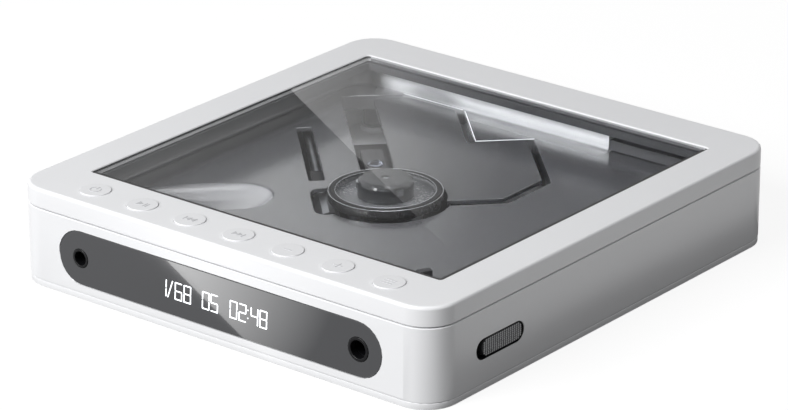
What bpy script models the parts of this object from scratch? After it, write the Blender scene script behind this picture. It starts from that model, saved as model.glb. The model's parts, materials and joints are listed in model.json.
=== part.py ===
"""A portable CD player with a windowed lid, as separate pieces at their real size.

Metres, +Z up, +X to the right along the front, +Y to the back. The origin is at the bottom centre.
The disc sets the size of the case: the tray wraps the disc, and the shell wraps the tray.
The disc mechanism has its own axes, turned in the case: out along the sled, and across it.
"""

import math

import bmesh
import bpy
from mathutils import Matrix, Vector

MM = 0.001

# Counts that set how finely round shapes are cut
CORNER_STEPS = 6
SMALL_CORNER_STEPS = 3
LARGE_ROUND_STEPS = 40
ROUND_STEPS = 20
SMALL_ROUND_STEPS = 12
SMOOTH_ANGLE = math.radians(32)
STEEP_SHARE = math.sqrt(0.5)

# Clearances that all pieces share
FIT_GAP = 0.3 * MM
THIN_GAP = 0.15 * MM
OVERRUN = 1.0 * MM
OVERLAP = 0.5 * MM

# Disc, and where its centre lies from the centre of the case
DISC_RADIUS = 60.0 * MM
DISC_HOLE_RADIUS = 7.5 * MM
HUB_LEFT = 3.2 * MM
HUB_FRONT = 1.3 * MM
DISC_EDGE_GAP = 1.2 * MM
DISC_REAR_GAP = 4.3 * MM

# Case shell
SHELL_WALL = 1.8 * MM
SHELL_FLOOR = 1.8 * MM
CASE_CORNER = 9.0 * MM
BOTTOM_ROUND = 1.6 * MM
TOP_ROUND = 0.9 * MM
RIM_CHAMFER = 0.2 * MM
FOOT_PROUD = 0.6 * MM
SEAM_GAP = 0.3 * MM
LID_HEIGHT = 5.3 * MM
RIM_COVER = 1.1 * MM

# Disc tray
TRAY_PLATE = 1.2 * MM
TRAY_WALL = 1.2 * MM
TRAY_WALL_HEIGHT = 4.2 * MM
TRAY_CORNER = 7.0 * MM
TRAY_FILLET = 1.0 * MM
TRAY_FLANGE = 1.2 * MM
TRAY_SIDE_GAP = 1.1 * MM
TRAY_FRONT_GAP = 1.0 * MM
HINGE_ROOM = 6.4 * MM

# Opening in the tray, in the mechanism's own axes
MECHANISM_TURN = math.radians(-45)
OPENING_END_RISE = 13.4 * MM
OPENING_STEP = 38.7 * MM
OPENING_NEAR = 6.8 * MM
OPENING_SHOULDER = 28.2 * MM
OPENING_SIDE = 44.5 * MM
OPENING_REAR_GAP = 0.4 * MM
OPENING_RIGHT = 26.9 * MM
OPENING_ROUND = 1.4 * MM
OPENING_CHAMFER = 0.2 * MM
LIP_WALL = 1.2 * MM
LIP_DEPTH = 3.0 * MM
SLOT_HALF_WIDTH = 4.4 * MM
HUB_HOLE_GAP = 2.0 * MM
DECK_GAP = 2.3 * MM
DECK_FAR_GAP = 3.9 * MM
DECK_PROUD = 0.5 * MM
DECK_THICKNESS = 1.2 * MM
DECK_LEG_RADIUS = 1.2 * MM
DECK_LEG_SIDE = 18.2 * MM
SCREW_SLOT_NEAR = 14.5 * MM
SCREW_SLOT_FAR = 54.0 * MM
SCREW_SLOT_SIDE = 16.6 * MM
SCREW_SLOT_WIDTH = 4.2 * MM
SCREW_SLOT_ROUND = 0.6 * MM
MOTOR_WINDOW_START = 9.0 * MM
MOTOR_WINDOW_END = 9.5 * MM
MOTOR_WINDOW_SIDE = 19.2 * MM
MOTOR_WINDOW_ROUND = 3.0 * MM

# Finger scoop in the tray
SCOOP_OFF_AXIS = 6.2 * MM
SCOOP_HALF_WIDTH = 9.6 * MM
SCOOP_INNER = 28.4 * MM
SCOOP_LENGTH = 38.6 * MM
SCOOP_DEPTH = 2.6 * MM
SCOOP_WALL = 1.1 * MM

# Notches in the tray's walls
REAR_NOTCH_LEFT = 21.8 * MM
REAR_NOTCH_RIGHT = 57.0 * MM

# Mechanism stack and sled
DAMPER_FLANGE = 0.7 * MM
CHASSIS_THICKNESS = 1.0 * MM
CHASSIS_SIDE = 19.5 * MM
CHASSIS_NEAR = 18.5 * MM
CHASSIS_CORNER = 4.0 * MM
MOTOR_RADIUS = 10.0 * MM
MOTOR_HEIGHT = 9.1 * MM
MOTOR_CHAMFER = 0.6 * MM
MOTOR_BOSS_RADIUS = 3.0 * MM
MOTOR_BOSS_HEIGHT = 0.5 * MM
MOTOR_HEADROOM = 1.1 * MM
SHAFT_RADIUS = 1.0 * MM
ROD_RADIUS = 1.25 * MM
ROD_RISE = 3.7 * MM
SCREW_RISE = 6.2 * MM
GUIDE_SIDE = 14.5 * MM
SCREW_SIDE = 15.0 * MM
FEED_MOTOR_RADIUS = 3.3 * MM
FEED_MOTOR_LENGTH = 14.5 * MM
TAB_THICKNESS = 1.6 * MM
TAB_HALF_WIDTH = 2.9 * MM
TAB_TOP = 1.7 * MM
TAB_NEAR = 12.2 * MM
LENS_REST = 25.9 * MM
LENS_RIM_MARGIN = 1.6 * MM
SLED_HALF_LENGTH = 9.0 * MM
SLED_HALF_HEIGHT = 1.6 * MM
SLED_MARGIN = 2.0 * MM
NUT_HALF_LENGTH = 4.0 * MM
NUT_HALF_WIDTH = 2.3 * MM
NUT_TOP = 2.2 * MM
TOWER_SIDE = 3.0 * MM
TOWER_FAR = 11.0 * MM
TOWER_NEAR = 3.6 * MM
TOWER_BELOW_FLOOR = 0.5 * MM
LENS_RADIUS = 1.8 * MM
LENS_RIM_RADIUS = 2.3 * MM
LENS_WELL = 1.9 * MM
LENS_DOME = 0.5 * MM
LENS_PROUD = 0.9 * MM

# Turntable and hub
TURNTABLE_RADIUS = 15.2 * MM
TURNTABLE_DROP = 0.3 * MM
MAT_BAND = 1.5 * MM
TURNTABLE_WELL = 1.0 * MM
TURNTABLE_LIP = 0.4 * MM
TURNTABLE_LIP_HEIGHT = 0.5 * MM
MAT_THICKNESS = 0.5 * MM
DISC_STANDOFF = 2.6 * MM
HUB_PROUD = 3.4 * MM
HUB_CHAMFER = 1.2 * MM
HUB_ROUND = 0.5 * MM
CLIP_WIDTH = 2.2 * MM
CLIP_HEIGHT = 1.8 * MM
CLIP_LENGTH = 2.7 * MM
CLIP_PROUD = 0.3 * MM
CLIP_TRAVEL = 0.4 * MM
CLIP_DROP = 1.0 * MM
CLIP_COUNT = 3
CLIP_FIRST_ANGLE = math.radians(25)

# Rubber dampers under the chassis
DAMPER_RADIUS = 3.2 * MM
DAMPER_WAIST = 1.9 * MM
DAMPER_BORE = 1.2 * MM
PEG_RADIUS = 1.0 * MM
DAMPER_FAR = 58.0 * MM
DAMPER_NEAR = 14.0 * MM
DAMPER_SIDE = 14.0 * MM

# Lid
LID_WALL = 1.6 * MM
LID_PLATE = 1.3 * MM
LID_INSIDE_CORNER = 7.4 * MM
WINDOW_SIDE_MARGIN = 11.1 * MM
WINDOW_FRONT_MARGIN = 17.2 * MM
WINDOW_REAR_MARGIN = 14.1 * MM
WINDOW_CORNER = 1.0 * MM
GLASS_GAP = 0.2 * MM
GLASS_SUNK = 0.35 * MM
GLASS_THICKNESS = 1.5 * MM
GLASS_LEDGE = 0.8 * MM
LINER_DROP = 1.1 * MM
LINER_PLATE = 0.9 * MM
LINER_UPSTAND = 0.9 * MM

# Buttons in the lid's front strip
BUTTON_COUNT = 7
BUTTON_PITCH = 16.0 * MM
BUTTON_ROW_SHIFT = 0.6 * MM
BUTTON_RADIUS = 4.2 * MM
BUTTON_FLANGE = 0.6 * MM
BUTTON_FLANGE_HEIGHT = 0.4 * MM
BUTTON_FLANGE_GAP = 0.2 * MM
BUTTON_ROUND = 0.25 * MM
BUTTON_TRAVEL = 0.35 * MM
BUTTON_WELL_RADIUS = 2.4 * MM
BUTTON_WELL = 0.7 * MM
DOME_RADIUS = 1.6 * MM
DOME_HEIGHT = 0.3 * MM
BUTTON_BOARD = 0.6 * MM
BUTTON_BOARD_END = 9.0 * MM

# Lid hinge
HINGE_FROM_BACK = 2.6 * MM
HINGE_HALF_SPAN = 48.0 * MM
KNUCKLE_RADIUS = 1.2 * MM
KNUCKLE_HALF_WIDTH = 4.0 * MM
PIN_RADIUS = 0.55 * MM
PIN_BORE = 0.7 * MM
LUG_RADIUS = 1.7 * MM
LUG_WIDTH = 2.0 * MM
POST_THICKNESS = 1.4 * MM
BRACKET_FOOT_DEPTH = 2.9 * MM
BRACKET_FOOT = 1.5 * MM
BRACKET_RISE = 10.7 * MM
BRACKET_LEDGE = 3.5 * MM
COVER_HEIGHT = 2.8 * MM
COVER_REAR_GAP = 0.9 * MM

# Front panel, jacks and display
PANEL_SIDE_MARGIN = 15.55 * MM
PANEL_HEIGHT = 14.7 * MM
PANEL_CENTRE_RISE = 10.8 * MM
PANEL_THICKNESS = 1.0 * MM
PANEL_RECESS = 1.2 * MM
DISPLAY_HALF_WIDTH = 22.0 * MM
DISPLAY_HALF_HEIGHT = 5.0 * MM
DISPLAY_DEPTH = 1.2 * MM
SMALL_JACK_BORE = 1.85 * MM
SMALL_JACK_RING = 2.5 * MM
LARGE_JACK_BORE = 2.35 * MM
LARGE_JACK_RING = 3.15 * MM
JACK_HALF_SIDE = 3.2 * MM
JACK_DEPTH = 12.0 * MM
JACK_WALL_BEHIND = 1.5 * MM
RING_PROUD = 0.2 * MM
RING_ROUND = 0.2 * MM

# Boards, battery and ports
BOARD_THICKNESS = 1.2 * MM
MAIN_BOARD_SIDE_GAP = 1.5 * MM
MAIN_BOARD_DEPTH = 32.0 * MM
BOARD_POST_RADIUS = 2.0 * MM
BOARD_POST_MARGIN = 4.0 * MM
CHIP_HEIGHT = 1.1 * MM
CHIP_HALF_SIDE = 4.5 * MM
CHIP_SPACING = 16.0 * MM
BATTERY_DAMPER_GAP = 9.7 * MM
BATTERY_DEPTH = 55.0 * MM
BATTERY_HEIGHT = 7.0 * MM
BATTERY_ROUND = 3.0 * MM
BATTERY_SIDE_GAP = 5.2 * MM
BATTERY_FRONT = 12.0 * MM
BATTERY_RIB = 1.2 * MM
BATTERY_RIB_HEIGHT = 3.0 * MM
CHARGING_BOARD_WIDTH = 24.0 * MM
CHARGING_BOARD_DEPTH = 12.0 * MM
CHARGING_BOARD_FROM_SIDE = 26.7 * MM
CHARGING_BOARD_RISE = 3.1 * MM
USB_WIDTH = 8.9 * MM
USB_HEIGHT = 3.2 * MM
USB_WALL = 0.3 * MM
USB_DEPTH = 7.3 * MM
USB_POCKET = 6.3 * MM
USB_SUNK = 0.4 * MM
USB_TONGUE_WIDTH = 6.7 * MM
USB_TONGUE_HEIGHT = 0.7 * MM
USB_TONGUE_LENGTH = 4.6 * MM

# Open slider in the right side
SLIDER_CENTRE_FROM_FRONT = 27.6 * MM
SLIDER_LENGTH = 16.4 * MM
SLIDER_HEIGHT = 5.0 * MM
SLIDER_RISE = 10.35 * MM
SLIDER_TRAVEL = 2.0 * MM
SLIDER_SUNK = 0.15 * MM
SLIDER_ROUND = 0.3 * MM
FLANGE_LAP = 3.0 * MM
FLANGE_RISE = 1.2 * MM
FLANGE_THICKNESS = 1.2 * MM
ARM_LENGTH = 5.0 * MM
ARM_THICKNESS = 1.5 * MM
TOOTH_HEIGHT = 1.2 * MM
HOOK_LENGTH = 8.0 * MM
HOOK_THICKNESS = 1.6 * MM
HOOK_TOOTH = 1.0 * MM
HOOK_TOOTH_HEIGHT = 1.2 * MM
HOOK_ABOVE_FLOOR = 2.0 * MM
SPRING_RADIUS = 1.1 * MM
SPRING_WIRE = 0.25 * MM
SPRING_LENGTH = 5.0 * MM
SPRING_TURNS = 4
SPRING_STEPS = 8
SPRING_SIDES = 6
SPRING_STOP = 1.5 * MM

# Lid switch
SWITCH_X = 44.6 * MM
SWITCH_Y = 45.5 * MM
SWITCH_HALF_SIDE = 3.2 * MM
SWITCH_HEIGHT = 3.6 * MM
SWITCH_FLOOR = 0.8 * MM
SWITCH_TRAVEL = 1.0 * MM
PLUNGER_HALF_WIDTH = 1.0 * MM
PLUNGER_HALF_LENGTH = 1.8 * MM
PLUNGER_BELOW_RIM = 1.2 * MM
PLUNGER_TURN = math.radians(60)

# Feet and case screws
FOOT_RADIUS = 5.0 * MM
FOOT_SEAT = 0.5 * MM
FOOT_ROUND = 0.3 * MM
FOOT_INSET = 16.5 * MM
SCREW_INSET = 8.0 * MM
SCREW_HEAD_RADIUS = 2.2 * MM
SCREW_HEAD_HEIGHT = 1.2 * MM
SCREW_SHANK_RADIUS = 0.85 * MM
SCREW_LENGTH = 9.0 * MM
SCREW_SUNK = 0.4 * MM
BOSS_RADIUS = 3.0 * MM
FLOOR_BOSS_RADIUS = 4.0 * MM
FLOOR_BOSS_HEIGHT = 1.6 * MM

# Heights, stacked from the feet up
CASE_BOTTOM = FOOT_PROUD
FLOOR_TOP = CASE_BOTTOM + SHELL_FLOOR
CHASSIS_BOTTOM = FLOOR_TOP + DAMPER_FLANGE + FIT_GAP
CHASSIS_TOP = CHASSIS_BOTTOM + CHASSIS_THICKNESS
ROD_Z = CHASSIS_TOP + ROD_RISE
SCREW_Z = CHASSIS_TOP + SCREW_RISE
MOTOR_BOTTOM = CHASSIS_TOP + FIT_GAP
MOTOR_TOP = MOTOR_BOTTOM + MOTOR_HEIGHT
TRAY_BOTTOM = MOTOR_TOP + MOTOR_HEADROOM
TRAY_FLOOR = TRAY_BOTTOM + TRAY_PLATE
TRAY_RIM = TRAY_FLOOR + TRAY_WALL_HEIGHT
DISC_SEAT = TRAY_FLOOR + DISC_STANDOFF
SHELL_RIM = TRAY_RIM + RIM_COVER
LID_BOTTOM = SHELL_RIM + SEAM_GAP
LID_TOP = LID_BOTTOM + LID_HEIGHT
LID_CEILING = LID_TOP - LID_PLATE
GLASS_BOTTOM = LID_TOP - GLASS_SUNK - GLASS_THICKNESS
LINER_BOTTOM = LID_BOTTOM + LINER_DROP
LINER_TOP = LINER_BOTTOM + LINER_PLATE
HINGE_Z = LID_BOTTOM + HINGE_FROM_BACK
PANEL_Z = CASE_BOTTOM + PANEL_CENTRE_RISE
SLIDER_Z = CASE_BOTTOM + SLIDER_RISE
MAIN_BOARD_TOP = PANEL_Z - JACK_HALF_SIDE - FIT_GAP
MAIN_BOARD_BOTTOM = MAIN_BOARD_TOP - BOARD_THICKNESS
DECK_TOP = TRAY_FLOOR + DECK_PROUD
DECK_BOTTOM = DECK_TOP - DECK_THICKNESS
LIP_BOTTOM = TRAY_BOTTOM - LIP_DEPTH
BRACKET_BASE = SHELL_RIM - BRACKET_RISE + BRACKET_LEDGE

# Plan, wrapped around the disc: each value is a distance from the centre of the case
TRAY_WELL_SIDE = DISC_RADIUS + HUB_LEFT + DISC_EDGE_GAP
TRAY_SIDE = TRAY_WELL_SIDE + TRAY_WALL
SHELL_INSIDE_X = TRAY_SIDE + TRAY_SIDE_GAP
CASE_X = SHELL_INSIDE_X + SHELL_WALL
TRAY_WELL_BACK = DISC_RADIUS - HUB_FRONT + DISC_REAR_GAP
TRAY_BACK = TRAY_WELL_BACK + TRAY_WALL
SHELL_INSIDE_Y = TRAY_BACK + HINGE_ROOM
CASE_Y = SHELL_INSIDE_Y + SHELL_WALL
TRAY_FRONT = SHELL_INSIDE_Y - TRAY_FRONT_GAP
TRAY_WELL_FRONT = TRAY_FRONT - TRAY_WALL
HINGE_Y = CASE_Y - HINGE_FROM_BACK
WINDOW_X = CASE_X - WINDOW_SIDE_MARGIN
WINDOW_FRONT_Y = -CASE_Y + WINDOW_FRONT_MARGIN
WINDOW_BACK_Y = CASE_Y - WINDOW_REAR_MARGIN
BUTTON_Y = -CASE_Y + (WINDOW_FRONT_MARGIN - (WINDOW_CORNER - BUTTON_ROUND)) / 2
PANEL_LENGTH = 2 * (CASE_X - PANEL_SIDE_MARGIN)
JACK_X = (PANEL_LENGTH - PANEL_HEIGHT) / 2
DISPLAY_BACK = -CASE_Y + PANEL_THICKNESS + FIT_GAP + DISPLAY_DEPTH
SLIDER_Y = -CASE_Y + SLIDER_CENTRE_FROM_FRONT
SCREW_X = CASE_X - SCREW_INSET
SCREW_Y = CASE_Y - SCREW_INSET
MAIN_BOARD_HALF_WIDTH = SCREW_X - FLOOR_BOSS_RADIUS - MAIN_BOARD_SIDE_GAP
FOOT_X = CASE_X - FOOT_INSET
FOOT_Y = CASE_Y - FOOT_INSET
LENS_OUTER = DISC_RADIUS - LENS_RIM_MARGIN
CHARGING_BOARD_CENTRE = SHELL_INSIDE_X - CHARGING_BOARD_FROM_SIDE
HUB_HOLE_RADIUS = TURNTABLE_RADIUS + HUB_HOLE_GAP
TURNTABLE_WELL_RADIUS = TURNTABLE_RADIUS - TURNTABLE_LIP - MAT_BAND
TAB_FAR = LENS_OUTER + SLED_HALF_LENGTH + FIT_GAP
CHASSIS_FAR = TAB_FAR + TAB_THICKNESS
HUB_POINT = Vector((-HUB_LEFT, -HUB_FRONT, 0))
LID_AXIS = Vector((0, HINGE_Y, HINGE_Z))

# Finishes: linear colour, roughness, metallic
FINISHES = {
    "white_shell": ((0.80, 0.81, 0.83), 0.35, 0),
    "white_button": ((0.78, 0.79, 0.81), 0.38, 0),
    "dark_tray": ((0.10, 0.105, 0.11), 0.30, 0),
    "dark_liner": ((0.035, 0.036, 0.038), 0.45, 0),
    "tinted_glass": ((0.10, 0.105, 0.11), 0.05, 0),
    "dark_panel": ((0.055, 0.056, 0.060), 0.12, 0),
    "black_plastic": ((0.02, 0.02, 0.021), 0.5, 0),
    "steel": ((0.55, 0.56, 0.58), 0.25, 1),
    "chassis_steel": ((0.40, 0.41, 0.42), 0.4, 1),
    "slider_grey": ((0.28, 0.285, 0.30), 0.5, 0),
    "black_rubber": ((0.015, 0.015, 0.016), 0.8, 0),
    "circuit_board": ((0.02, 0.12, 0.05), 0.5, 0),
    "battery_wrap": ((0.45, 0.47, 0.50), 0.35, 0),
    "clear_lens": ((0.35, 0.42, 0.50), 0.05, 0),
}


class Frame:
    """An empty that pieces are placed by, and the point of the drawing that it stands at."""

    def __init__(self, name, location, turn=0, datum=(0, 0, 0)):
        self.datum = Vector(datum)
        self.empty = bpy.data.objects.new(name, None)
        self.empty.location = location
        self.empty.rotation_euler = (0, 0, turn)
        bpy.context.scene.collection.objects.link(self.empty)


def clear_scene():
    for old in list(bpy.data.objects):
        bpy.data.objects.remove(old)


def finish_material(name):
    """The material of a finish, made the first time that it is asked for."""
    if name in bpy.data.materials:
        return bpy.data.materials[name]
    colour, roughness, metallic = FINISHES[name]
    made = bpy.data.materials.new(name)
    made.use_nodes = True
    shader = made.node_tree.nodes["Principled BSDF"]
    shader.inputs["Base Color"].default_value = (*colour, 1)
    shader.inputs["Roughness"].default_value = roughness
    shader.inputs["Metallic"].default_value = metallic
    return made


# Outlines: closed lists of (a, b) points, counterclockwise


def arc(centre, radius, start, end, steps):
    angles = [start + (end - start) * i / steps for i in range(steps + 1)]
    return [(centre[0] + radius * math.cos(a), centre[1] + radius * math.sin(a)) for a in angles]


def circle(radius, steps, centre=(0, 0)):
    return arc(centre, radius, 0, math.tau * (steps - 1) / steps, steps - 1)


def rectangle(a0, b0, a1, b1):
    return [(a0, b0), (a1, b0), (a1, b1), (a0, b1)]


def rounded_rectangle(a0, b0, a1, b1, radius, steps=CORNER_STEPS):
    corners = ((a1, b1), (a0, b1), (a0, b0), (a1, b0))
    outline = []
    for quarter, (a, b) in enumerate(corners):
        across, up = math.copysign(radius, a - (a0 + a1) / 2), math.copysign(radius, b - (b0 + b1) / 2)
        middle = (a - across, b - up)
        start = quarter * math.pi / 2
        outline += arc(middle, radius, start, start + math.pi / 2, steps)
    return outline


def capsule(length, height, centre=(0, 0), steps=CORNER_STEPS):
    """A bar with round ends, lying along the first axis."""
    reach = (length - height) / 2
    half_turn = math.pi
    right = arc((centre[0] + reach, centre[1]), height / 2, -half_turn / 2, half_turn / 2, 2 * steps)
    left = arc((centre[0] - reach, centre[1]), height / 2, half_turn / 2, 3 * half_turn / 2, 2 * steps)
    return right + left


def offset_outline(outline, distance):
    """The outline with each side moved out by a distance, mitred at the corners."""
    moved = []
    for before, here, after in zip(outline[-1:] + outline[:-1], outline, outline[1:] + outline[:1]):
        first = (Vector(here) - Vector(before)).normalized()
        second = (Vector(after) - Vector(here)).normalized()
        first_out, second_out = Vector((first.y, -first.x)), Vector((second.y, -second.x))
        mitre = (first_out + second_out).normalized()
        moved.append(Vector(here) + mitre * (distance / max(mitre.dot(first_out), STEEP_SHARE / 2)))
    return [tuple(point) for point in moved]


def round_corners(corners, radius, steps=SMALL_CORNER_STEPS):
    """The outline with an arc in place of each corner, turning either way."""
    outline = []
    for before, here, after in zip(corners[-1:] + corners[:-1], corners, corners[1:] + corners[:1]):
        here = Vector(here)
        to_before = (Vector(before) - here).normalized()
        to_after = (Vector(after) - here).normalized()
        half = to_before.angle(to_after) / 2
        middle = here + (to_before + to_after).normalized() * (radius / math.sin(half))
        start = here + to_before * (radius / math.tan(half)) - middle
        sweep = (math.pi - 2 * half) * math.copysign(1, to_after.cross(to_before))
        turns = [Matrix.Rotation(sweep * i / steps, 2) for i in range(steps + 1)]
        outline += [tuple(middle + turn @ start) for turn in turns]
    return outline


# Shapes: closed meshes, with their faces pointing out


def on_axis(a, b, along, axis):
    """A point from its two cross coordinates and its place along an axis."""
    return {"x": (along, a, b), "y": (a, along, b), "z": (a, b, along)}[axis]


def closed(shape):
    bmesh.ops.recalc_face_normals(shape, faces=shape.faces)
    return shape


def loft(rings, ring_shaped=False):
    """A skin over rings of equal count, with flat ends, or joined into a ring shape."""
    shape = bmesh.new()
    levels = [[shape.verts.new(point) for point in ring] for ring in rings]
    pairs = list(zip(levels, levels[1:]))
    if ring_shaped:
        pairs.append((levels[-1], levels[0]))
    for low, high in pairs:
        for i, _ in enumerate(low):
            j = (i + 1) % len(low)
            shape.faces.new((low[i], low[j], high[j], high[i]))
    if not ring_shaped:
        shape.faces.new(levels[0])
        shape.faces.new(levels[-1])
    return closed(shape)


def slab(outline, low, high, axis="z"):
    return loft([[on_axis(a, b, along, axis) for a, b in outline] for along in (low, high)])


def block(low, high, round_by=0):
    """A box between two corners, with its upright edges rounded on request."""
    if round_by:
        outline = rounded_rectangle(low[0], low[1], high[0], high[1], round_by, SMALL_CORNER_STEPS)
    else:
        outline = rectangle(low[0], low[1], high[0], high[1])
    return slab(outline, low[2], high[2])


def turned(profile, steps=ROUND_STEPS, axis="z", centre=(0, 0), bored=False):
    """A profile of (radius, along) points, spun about an axis. A radius of 0 closes the end."""
    shape = bmesh.new()
    levels = []
    for radius, along in profile:
        points = circle(radius, steps, centre) if radius else [centre]
        levels.append([shape.verts.new(on_axis(a, b, along, axis)) for a, b in points])
    pairs = list(zip(levels, levels[1:]))
    if bored:
        pairs.append((levels[-1], levels[0]))
    for first, second in pairs:
        for i in range(steps):
            j = (i + 1) % steps
            side = [ring[k % len(ring)] for ring, k in ((first, i), (first, j), (second, j), (second, i))]
            shape.faces.new(list(dict.fromkeys(side)))
    return closed(shape)


def rod(radius, low, high, steps=ROUND_STEPS, axis="z", centre=(0, 0)):
    return slab(circle(radius, steps, centre), low, high, axis)


def together(*shapes):
    """Several shapes that don't touch, as one mesh to cut or join with."""
    whole = shapes[0]
    for extra in shapes[1:]:
        mesh = bpy.data.meshes.new("loose")
        extra.to_mesh(mesh)
        extra.free()
        whole.from_mesh(mesh)
        bpy.data.meshes.remove(mesh)
    return whole


def coil(radius, wire, length, turns, axis_start):
    """A spring along Y: a tube that follows a helix."""
    count = turns * SPRING_STEPS
    rings = []
    for i in range(count + 1):
        angle = math.tau * i / SPRING_STEPS
        outward = Vector((math.cos(angle), 0, math.sin(angle)))
        middle = Vector(axis_start) + outward * radius + Vector((0, length * i / count, 0))
        ring = circle(wire, SPRING_SIDES)
        rings.append([tuple(middle + outward * a + Vector((0, b, 0))) for a, b in ring])
    return loft(rings)


# Nodes and Booleans


def to_object(name, shape, frame, origin):
    shape.transform(Matrix.Translation(-Vector(origin)))
    mesh = bpy.data.meshes.new(name)
    shape.to_mesh(mesh)
    shape.free()
    made = bpy.data.objects.new(name, mesh)
    bpy.context.scene.collection.objects.link(made)
    made.location = Vector(origin)
    if frame:
        made.parent = frame.empty
        made.location = Vector(origin) - frame.datum
    return made


def piece(name, shape, finish, frame=None, origin=(0, 0, 0)):
    """A named piece of the product, drawn in its frame, with its origin moved to a point there."""
    made = to_object(name, shape, frame, origin)
    made.data.shade_smooth()
    made.data.set_sharp_from_angle(angle=SMOOTH_ANGLE)
    made.data.materials.append(finish_material(finish))
    return made


def boolean(target, shape, operation, frame):
    tool = to_object(f"{target.name}_tool", shape, frame, (0, 0, 0))
    tool.hide_render = True
    tool.display_type = "WIRE"
    modifier = target.modifiers.new(operation.title(), "BOOLEAN")
    modifier.operation = operation
    modifier.object = tool


def cut(target, *shapes, frame=None):
    for shape in shapes:
        boolean(target, shape, "DIFFERENCE", frame)


def join(target, *shapes, frame=None):
    for shape in shapes:
        boolean(target, shape, "UNION", frame)


# Places that several pieces share


def four(x, y):
    """The four corners of a rectangle about the centre of the case."""
    return [(-x, -y), (x, -y), (x, y), (-x, y)]


def case_ring(x, y, corner, z, inset=0):
    radius = max(corner - inset, RIM_CHAMFER)
    outline = rounded_rectangle(inset - x, inset - y, x - inset, y - inset, radius)
    return [(a, b, z) for a, b in outline]


def window_outline(grow=0):
    side, front, back = WINDOW_X + grow, WINDOW_FRONT_Y - grow, WINDOW_BACK_Y + grow
    return rounded_rectangle(-side, front, side, back, WINDOW_CORNER)


def window_ring(z, grow=0):
    return [(a, b, z) for a, b in window_outline(grow)]


def rounded_rings(ring_at, z_flat, z_end, radius, steps=3):
    """Rings of a quarter round between an upright side and a flat face."""
    rings = []
    for i in range(steps + 1):
        angle = math.pi / 2 * i / steps
        inset = radius * (1 - math.cos(angle))
        z = z_flat + (z_end - z_flat) * math.sin(angle)
        rings.append(ring_at(z, inset))
    return rings


def opening_corners(inset=0, far_inset=0, side=-SLOT_HALF_WIDTH):
    """Corners of the tray's opening in the mechanism's axes, clipped at the back and the right."""
    root = math.sqrt(2)
    back = (TRAY_WELL_BACK + HUB_FRONT - OPENING_REAR_GAP - inset) * root
    right = (OPENING_RIGHT - inset) * root
    near, step = OPENING_NEAR - inset, OPENING_STEP - inset
    shoulder, reach = OPENING_SHOULDER - inset, OPENING_SIDE - inset
    whole_back = (TRAY_WELL_BACK + HUB_FRONT - OPENING_REAR_GAP) * root
    far = whole_back - OPENING_END_RISE - far_inset
    return [
        (-far, side),
        (near, side),
        (near, right - near),
        (right - reach, reach),
        (-step, reach),
        (-step, shoulder),
        (shoulder - back, shoulder),
        (-far, back - far),
    ]


def chamfered_hole(outline, low, floor):
    """A cutter that leaves a small chamfer where it comes up through a floor."""
    wide = offset_outline(outline, 2 * OPENING_CHAMFER)
    levels = ((outline, low), (outline, floor - OPENING_CHAMFER), (wide, floor + OPENING_CHAMFER))
    return loft([[(a, b, z) for a, b in ring] for ring, z in levels])


def button_places():
    middle = (BUTTON_COUNT - 1) / 2
    return [(BUTTON_ROW_SHIFT + (i - middle) * BUTTON_PITCH, BUTTON_Y) for i in range(BUTTON_COUNT)]


def damper_places():
    return [(-DAMPER_FAR, 0), (DAMPER_NEAR, -DAMPER_SIDE), (DAMPER_NEAR, DAMPER_SIDE)]


def board_post_places():
    reach = MAIN_BOARD_HALF_WIDTH - BOARD_POST_MARGIN
    front = DISPLAY_BACK + FIT_GAP
    near, far = front + BOARD_POST_MARGIN, front + MAIN_BOARD_DEPTH - BOARD_POST_MARGIN
    return [(-reach, near), (reach, near), (reach, far), (-reach, far)]


def battery_corners():
    """Ends along X and Y of the battery, which fills the space from the right damper to the side wall."""
    damper = DAMPER_NEAR * math.cos(MECHANISM_TURN) - DAMPER_SIDE * math.sin(MECHANISM_TURN) - HUB_LEFT
    left = damper + DAMPER_RADIUS + BATTERY_DAMPER_GAP
    right = SHELL_INSIDE_X - BATTERY_SIDE_GAP
    return (left, -BATTERY_FRONT), (right, BATTERY_DEPTH - BATTERY_FRONT)


def slider_flange():
    """Ends along Y and Z of the flange that keeps the slider behind the wall."""
    reach = SLIDER_LENGTH / 2 + FLANGE_LAP
    rise = SLIDER_HEIGHT / 2 + FLANGE_RISE
    return (SLIDER_Y - reach, SLIDER_Z - rise), (SLIDER_Y + reach, SLIDER_Z + rise)


def slider_slot():
    """Outline along Y and Z of the slot that the slider runs in, with room for its travel."""
    length = SLIDER_LENGTH + SLIDER_TRAVEL + 2 * FIT_GAP + THIN_GAP
    middle = (SLIDER_Y - SLIDER_TRAVEL / 2, SLIDER_Z)
    return capsule(length, SLIDER_HEIGHT + 2 * FIT_GAP, middle)


# The case


def make_bottom_shell():
    def outside(z, inset=0):
        return case_ring(CASE_X, CASE_Y, CASE_CORNER, z, inset)

    rings = rounded_rings(outside, CASE_BOTTOM + BOTTOM_ROUND, CASE_BOTTOM, BOTTOM_ROUND)[::-1]
    rings += [outside(SHELL_RIM - RIM_CHAMFER), outside(SHELL_RIM, RIM_CHAMFER)]
    rings += [outside(SHELL_RIM, SHELL_WALL), outside(FLOOR_TOP, SHELL_WALL)]
    shell = piece("bottom_shell", loft(rings), "white_shell")
    join(shell, together(*floor_bosses()), together(*floor_posts()), together(*battery_ribs()))
    join(shell, together(*bracket_ledges()), spring_stop())
    cut(shell, together(*foot_seats()), together(*screw_ways()))
    cut(shell, panel_recess(), panel_windows(), usb_way())
    cut(shell, slab(slider_slot(), SHELL_INSIDE_X - OVERRUN, CASE_X + OVERRUN, "x"))


def floor_bosses():
    low, high = FLOOR_TOP - OVERLAP, FLOOR_TOP + FLOOR_BOSS_HEIGHT
    return [rod(FLOOR_BOSS_RADIUS, low, high, centre=place) for place in four(SCREW_X, SCREW_Y)]


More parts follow.
